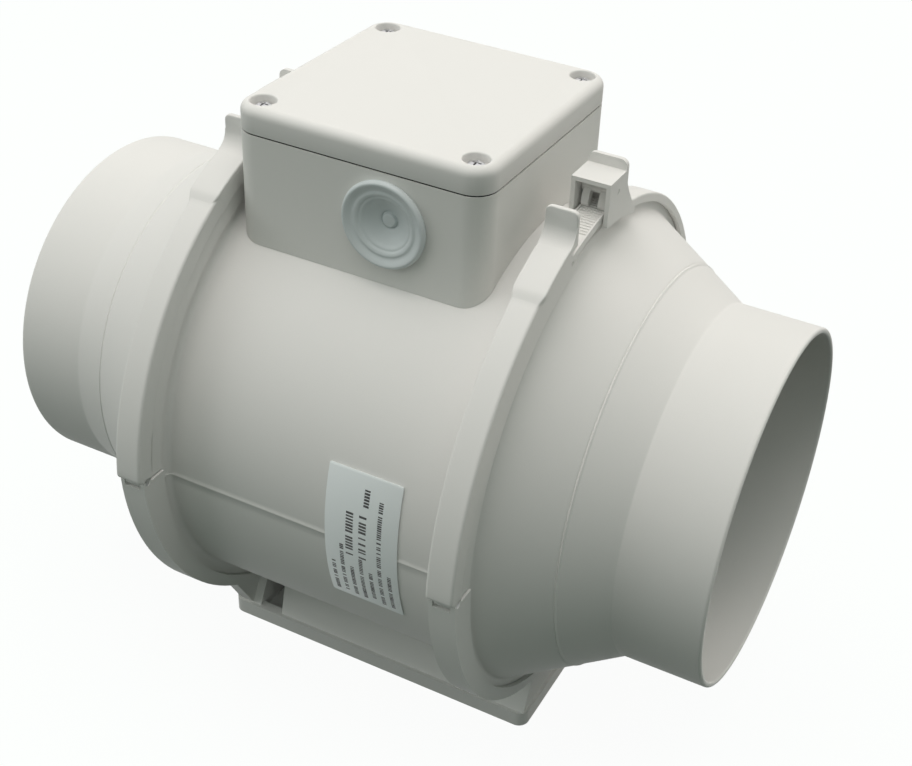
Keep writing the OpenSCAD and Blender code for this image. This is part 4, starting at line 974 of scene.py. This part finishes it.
top_turns = [math.radians(15*k) for k in range(7)]
rings = [box_ring(inset, height) for inset, height in
         ((0.35, 0), (0.1, 0.1), (0, 0.35), (0, lid_h - lid_round - 0.5))]
rings += [box_ring(lid_round*(1 - math.cos(t)), lid_h - lid_round*(1 - math.sin(t)))
          for t in top_turns]
rings += [box_ring(lid_round + 0.5, lid_h)]
lid = loft("box_lid_shell", rings)
hollow = loft("hollow", [box_ring(lid_wall, -1), box_ring(lid_wall, lid_h - lid_wall)])
combine(lid, [hollow], "DIFFERENCE")
bosses = at_lid_corners(lambda place, number: spun(
    f"boss_{number}", [(0, 0.2), (boss_r - 0.3, 0.2), (boss_r, 0.5), (boss_r, lid_h - 2),
                       (0, lid_h - 2)], place))
combine(lid, bosses, "UNION")
well_profile = [(0, well_floor), (well_r - 0.3, well_floor), (well_r, well_floor + 0.3),
                (well_r, lid_h - flare)]
well_profile += [(well_r + flare*(1 - math.cos(t)), lid_h - flare*(1 - math.sin(t)))
                 for t in top_turns[1:]] + [(well_r + flare, lid_h + 1), (0, lid_h + 1)]
wells = at_lid_corners(lambda place, number: spun(f"well_{number}", well_profile, place))
holes = at_lid_corners(lambda place, number: spun(
    f"hole_{number}", [(0, -1), (screw_hole_r, -1), (screw_hole_r, lid_h), (0, lid_h)],
    place, 24))
combine(lid, wells + holes, "DIFFERENCE", smooth=32)
stand_for(lid, "box_lid")

# %% [markdown]
# ### Lid screws
# Four equal screws are one screw, made with care, and four places. The screw is turned, its thread
# is a zigzag in the outline, and its cross recess is cut with two tapered bars. Geometry Nodes put
# an instance of it on the corners of a grid, and realise the instances so that they export.

# %% Geometry Nodes: one piece on the corners of a grid
corners, ins, outs = geometry_tree("Piece on four corners", [
    ("Piece", GEOMETRY, None), ("Spacing X", FLOAT, 0.07), ("Spacing Y", FLOAT, 0.07),
    ("Place", VECTOR, (0, 0, 0)), ("Material", MATERIAL, None)])
grid = add(corners, "GeometryNodeMeshGrid", {"Vertices X": 2, "Vertices Y": 2})
shift = add(corners, "GeometryNodeTransform")
screws_on = add(corners, "GeometryNodeInstanceOnPoints")
wire(corners, (ins, "Spacing X", grid, "Size X"), (ins, "Spacing Y", grid, "Size Y"),
     (grid, "Mesh", shift, "Geometry"), (ins, "Place", shift, "Translation"),
     (shift, "Geometry", screws_on, "Points"), (ins, "Piece", screws_on, "Instance"))
close_tree(corners, screws_on, "Instances", ins, outs)


# %% Make the screw and place it
def cross_screw(name, head_r=3.0, head_h=1.9, shank_r=1.45, length=14.0, pitch=0.9):
    """A pan-head screw, head top at the origin, with a cross recess."""
    profile = [(0, 0), (head_r*0.55, -0.08), (head_r*0.85, -0.4), (head_r, -1.0),
               (head_r, -head_h), (shank_r, -head_h)]
    turns = int((length - 3)/pitch)
    for k in range(turns):
        low = -head_h - 1.5 - k*pitch
        profile += [(shank_r - 0.28, low), (shank_r, low - pitch/2)]
    profile += [(shank_r - 0.3, -head_h - length + 1), (0, -head_h - length)]
    screw = spun(name, profile, Matrix.Identity(4), 32)
    bars = []
    for long_x in (True, False):
        wide, deep = head_r*0.62, head_h*0.8
        ring_at = [(wide, 0.34, 0.2), (wide*0.45, 0.22, -deep)]
        rings = [[Vector((sx*(a if long_x else b), sy*(b if long_x else a), h))
                  for sx, sy in ((-1, -1), (1, -1), (1, 1), (-1, 1))] for a, b, h in ring_at]
        bars.append(loft(name + "_bar", rings))
    return combine(screw, bars, "DIFFERENCE", smooth=30)


screws = cross_screw("lid_screws_finished")
run_tree(screws, corners, {
    "Spacing X": 2*(lid_half.x - well_at)*MM, "Spacing Y": 2*(lid_half.y - well_at)*MM,
    "Place": (lid_mid.x*MM, lid_mid.y*MM, (lid_low.z + well_floor + 1.9)*MM),
    "Material": materials["screw_steel"]})
stand_for(tidy(screws, 30), "lid_screws")

# %% [markdown]
# ## Cable grommet
# The cable enters through a soft rubber grommet with a rolled rim, a ring and a deep bowl, and a
# small closed nipple in the middle that is cut open for the cable. All of it is turned about one
# line. Rubber has no corners at all, so its outline is a smooth curve through a few points.

# %% Turn the grommet
def smooth_curve(points, per=6):
    """A Catmull-Rom curve through the points."""
    ends = [points[0], *points, points[-1]]
    curve = []
    for k in range(len(points) - 1):
        a, b, c, d = (Vector(p) for p in ends[k:k + 4])
        for i in range(per):
            t = i/per
            curve.append(0.5*(2*b + (c - a)*t + (2*a - 5*b + 4*c - d)*t*t
                              + (3*b - a - 3*c + d)*t*t*t))
    return curve + [Vector(points[-1])]


grommet_low, grommet_high = reach_of("cable_grommet", 0), reach_of("cable_grommet", 1)
rim_r = (grommet_high.x - grommet_low.x)/2
wall_y = -lid_half.y + lid_mid.y
front = [(0, -1.9), (1.2, -1.95), (2.1, -2.1), (2.45, -2.9), (2.8, -3.0), (3.2, -2.6), (5.0, -1.8),
         (7.0, -0.6), (8.2, 0.35), (8.9, 0.6), (9.5, 1.15), (10.2, 1.4), (10.9, 1.3), (11.6, 1.5),
         (12.6, 2.1), (13.3, 2.4), (13.9, 2.2), (rim_r, 1.4), (rim_r - 0.1, 0.5),
         (rim_r - 0.5, 0.1)]
back = [(10.9, 0.1), (10.9, -2.6), (12.4, -2.6), (12.4, -4.1), (8.8, -4.1), (7.6, -2.5),
        (5.5, -3.5), (4.0, -4.05), (0, -4.05)]
grommet_place = Matrix.Translation((
    (grommet_low.x + grommet_high.x)/2, wall_y, (grommet_low.z + grommet_high.z)/2)
    ) @ Matrix.Rotation(math.radians(90), 4, "X")
grommet = spun("cable_grommet_finished", [tuple(p) for p in smooth_curve(front)] + back,
               grommet_place, 96)
stand_for(grommet, "cable_grommet")

# %% [markdown]
# ## Label
# A pale film label is bent round the casing. It carries no words: short plain bars stand where
# the lettering of a real one would be, in lines that end raggedly as print does. Each bar is a
# thin raised patch. The lines are laid out flat by Geometry Nodes with a fixed seed, and then
# every point is wrapped round the duct axis, which is easier than placing each bar on the curve.

# %% The film
label_low, label_high = reach_of("rating_label", 0), reach_of("rating_label", 1)
film_r = casing_r + parting_h + 0.35
film_from = math.degrees(math.asin((label_low.z - axis_z)/film_r))
film_to = math.degrees(math.asin((label_high.z - axis_z)/film_r))


def film_outline(angle):
    """The film's section, drawn in near its two ends so that its corners are round."""
    edge = math.radians(min(angle - film_from, film_to - angle))*film_r
    corner = 0.6
    gone = max(0.0, corner - edge)
    inset = corner - math.sqrt(max(0.0, corner**2 - gone**2))
    left, right = label_low.x + inset, label_high.x - inset
    return [(left, film_r - 0.25), (left, film_r - 0.03), (left + 0.05, film_r),
            (right - 0.05, film_r), (right, film_r - 0.03), (right, film_r - 0.25)]


span = film_to - film_from
edge_steps = [0, 0.05, 0.15, 0.35, 0.6, 0.85]
film_angles = [film_from + e for e in edge_steps] + [film_from + span*k/24 for k in range(1, 24)]
film_angles += [film_to - e for e in reversed(edge_steps)]
film = sweep("rating_label_film", film_outline, film_angles)
stand_for(film, "rating_label")

# %% Geometry Nodes: printed bars wrapped on a cylinder
bars, ins, outs = geometry_tree("Printed bars", [
    ("Lines", INTEGER, 6), ("Bars in a line", INTEGER, 8), ("Width", FLOAT, 0.02),
    ("Length", FLOAT, 0.02), ("Shortest line", FLOAT, 1.0), ("Bar width", FLOAT, 0.001),
    ("Shortest", FLOAT, 0.001), ("Longest", FLOAT, 0.003), ("Thickness", FLOAT, 0.00006),
    ("Left out", FLOAT, 0.2), ("Seed", INTEGER, 1), ("Middle", VECTOR, (0, 0, 0)),
    ("Radius", FLOAT, 0.08), ("Axis height", FLOAT, 0.1), ("Material", MATERIAL, None)])
number = add(bars, "GeometryNodeInputIndex")
per_line = maths(bars, "DIVIDE")
line = maths(bars, "FLOOR")
far_along = maths(bars, "FRACT")
line_end = add(bars, "FunctionNodeRandomValue", data_type="FLOAT")
past_end = maths(bars, "GREATER_THAN")
not_there = add(bars, "FunctionNodeBooleanMath", operation="OR")
layout = add(bars, "GeometryNodeMeshGrid")
centre_on = add(bars, "GeometryNodeTransform")
leave_out = add(bars, "GeometryNodeDeleteGeometry", domain="POINT")
chance = add(bars, "FunctionNodeRandomValue", data_type="BOOLEAN")
length = add(bars, "FunctionNodeRandomValue", data_type="FLOAT")
bar = add(bars, "GeometryNodeMeshCube", {"Size": (1, 1, 1), "Vertices Y": 2})
bar_size = add(bars, "ShaderNodeCombineXYZ")
print_on = add(bars, "GeometryNodeInstanceOnPoints")
flat = add(bars, "GeometryNodeRealizeInstances")
here = add(bars, "GeometryNodeInputPosition")
parts = add(bars, "ShaderNodeSeparateXYZ")
bend = maths(bars, "DIVIDE")
radius = maths(bars, "ADD")
bend_cos = maths(bars, "COSINE")
bend_sin = maths(bars, "SINE")
to_front = maths(bars, "MULTIPLY")
flip = maths(bars, "MULTIPLY", {1: -1.0})
to_top = maths(bars, "MULTIPLY_ADD")
round_place = add(bars, "ShaderNodeCombineXYZ")
wrap = add(bars, "GeometryNodeSetPosition")
wire(bars, (ins, "Lines", layout, "Vertices X"), (ins, "Bars in a line", layout, "Vertices Y"),
     (ins, "Width", layout, "Size X"), (ins, "Length", layout, "Size Y"),
     (layout, "Mesh", centre_on, "Geometry"), (ins, "Middle", centre_on, "Translation"),
     (ins, "Left out", chance, "Probability"), (ins, "Seed", chance, "Seed"),
     (ins, "Seed", length, "Seed"), (centre_on, "Geometry", leave_out, "Geometry"),
     (number, "Index", per_line, 0), (ins, "Bars in a line", per_line, 1),
     (per_line, "Value", line, 0), (per_line, "Value", far_along, 0),
     (line, "Value", line_end, "ID"), (ins, "Seed", line_end, "Seed"),
     (ins, "Shortest line", line_end, 2), (far_along, "Value", past_end, 0),
     (line_end, 1, past_end, 1), (chance, 3, not_there, 0), (past_end, "Value", not_there, 1),
     (not_there, "Boolean", leave_out, "Selection"), (ins, "Shortest", length, 2),
     (ins, "Longest", length, 3), (ins, "Bar width", bar_size, "X"), (length, 1, bar_size, "Y"),
     (ins, "Thickness", bar_size, "Z"), (leave_out, "Geometry", print_on, "Points"),
     (bar, "Mesh", print_on, "Instance"), (bar_size, "Vector", print_on, "Scale"),
     (print_on, "Instances", flat, "Geometry"), (here, "Position", parts, "Vector"),
     (parts, "Y", bend, 0), (ins, "Radius", bend, 1), (parts, "Z", radius, 0),
     (ins, "Radius", radius, 1), (bend, "Value", bend_cos, 0), (bend, "Value", bend_sin, 0),
     (bend_cos, "Value", to_front, 0), (radius, "Value", to_front, 1),
     (to_front, "Value", flip, 0), (bend_sin, "Value", to_top, 0), (radius, "Value", to_top, 1),
     (ins, "Axis height", to_top, 2), (parts, "X", round_place, "X"),
     (flip, "Value", round_place, "Y"), (to_top, "Value", round_place, "Z"),
     (flat, "Geometry", wrap, "Geometry"), (round_place, "Vector", wrap, "Position"))
close_tree(bars, wrap, "Geometry", ins, outs)
print("tree:", bars.name, len(bars.nodes), "nodes")

# %% Print the bars
ink = finish("black label print", (0.012, 0.012, 0.013), (0.03, 0.03, 0.03), 0.45, bump=0.004)
film_w = label_high.x - label_low.x
film_foot = math.radians(film_from)*film_r
film_len = math.radians(film_to)*film_r - film_foot


def printed(name, lines, count, across, along, bar_width, lengths, left_out, seed, shortest=1.0):
    """A block of bars; across and along are its reach on the film, as shares of the film."""
    return run_tree(in_scene(name, bpy.data.meshes.new(name)), bars, {
        "Lines": lines, "Bars in a line": count, "Shortest line": shortest,
        "Width": (across[1] - across[0])*film_w*MM, "Length": (along[1] - along[0])*film_len*MM,
        "Bar width": bar_width*MM, "Shortest": lengths[0]*MM, "Longest": lengths[1]*MM,
        "Left out": left_out, "Seed": seed, "Radius": film_r*MM, "Axis height": axis_z*MM,
        "Middle": ((label_low.x + sum(across)/2*film_w)*MM,
                   (film_foot + sum(along)/2*film_len)*MM, 0), "Material": ink})


print("film:", round(film_w, 1), "by", round(film_len, 1), "mm")
small_print = printed("rating_label_print", lines=7, count=30, across=(0.10, 0.88),
                      along=(0.05, 0.47), bar_width=1.35, lengths=(0.36, 0.62), left_out=0.16,
                      seed=5, shortest=0.2)
bold_print = printed("bold_print", lines=2, count=15, across=(0.34, 0.52), along=(0.42, 0.72),
                     bar_width=2.6, lengths=(0.5, 0.85), left_out=0.3, seed=2)
side_print = printed("side_print", lines=1, count=34, across=(0.75, 0.75), along=(0.40, 0.90),
                     bar_width=1.5, lengths=(0.36, 0.62), left_out=0.25, seed=7)
top_print = printed("top_print", lines=1, count=6, across=(0.55, 0.55), along=(0.80, 0.90),
                    bar_width=1.9, lengths=(0.5, 0.8), left_out=0.1, seed=3)
label_print = tidy(join(small_print, [bold_print, side_print, top_print]), 30)
label_print.data.materials.clear()
label_print.data.materials.append(ink)
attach(label_print, "frame")
print("printed bars:", len(label_print.data.polygons), "faces")
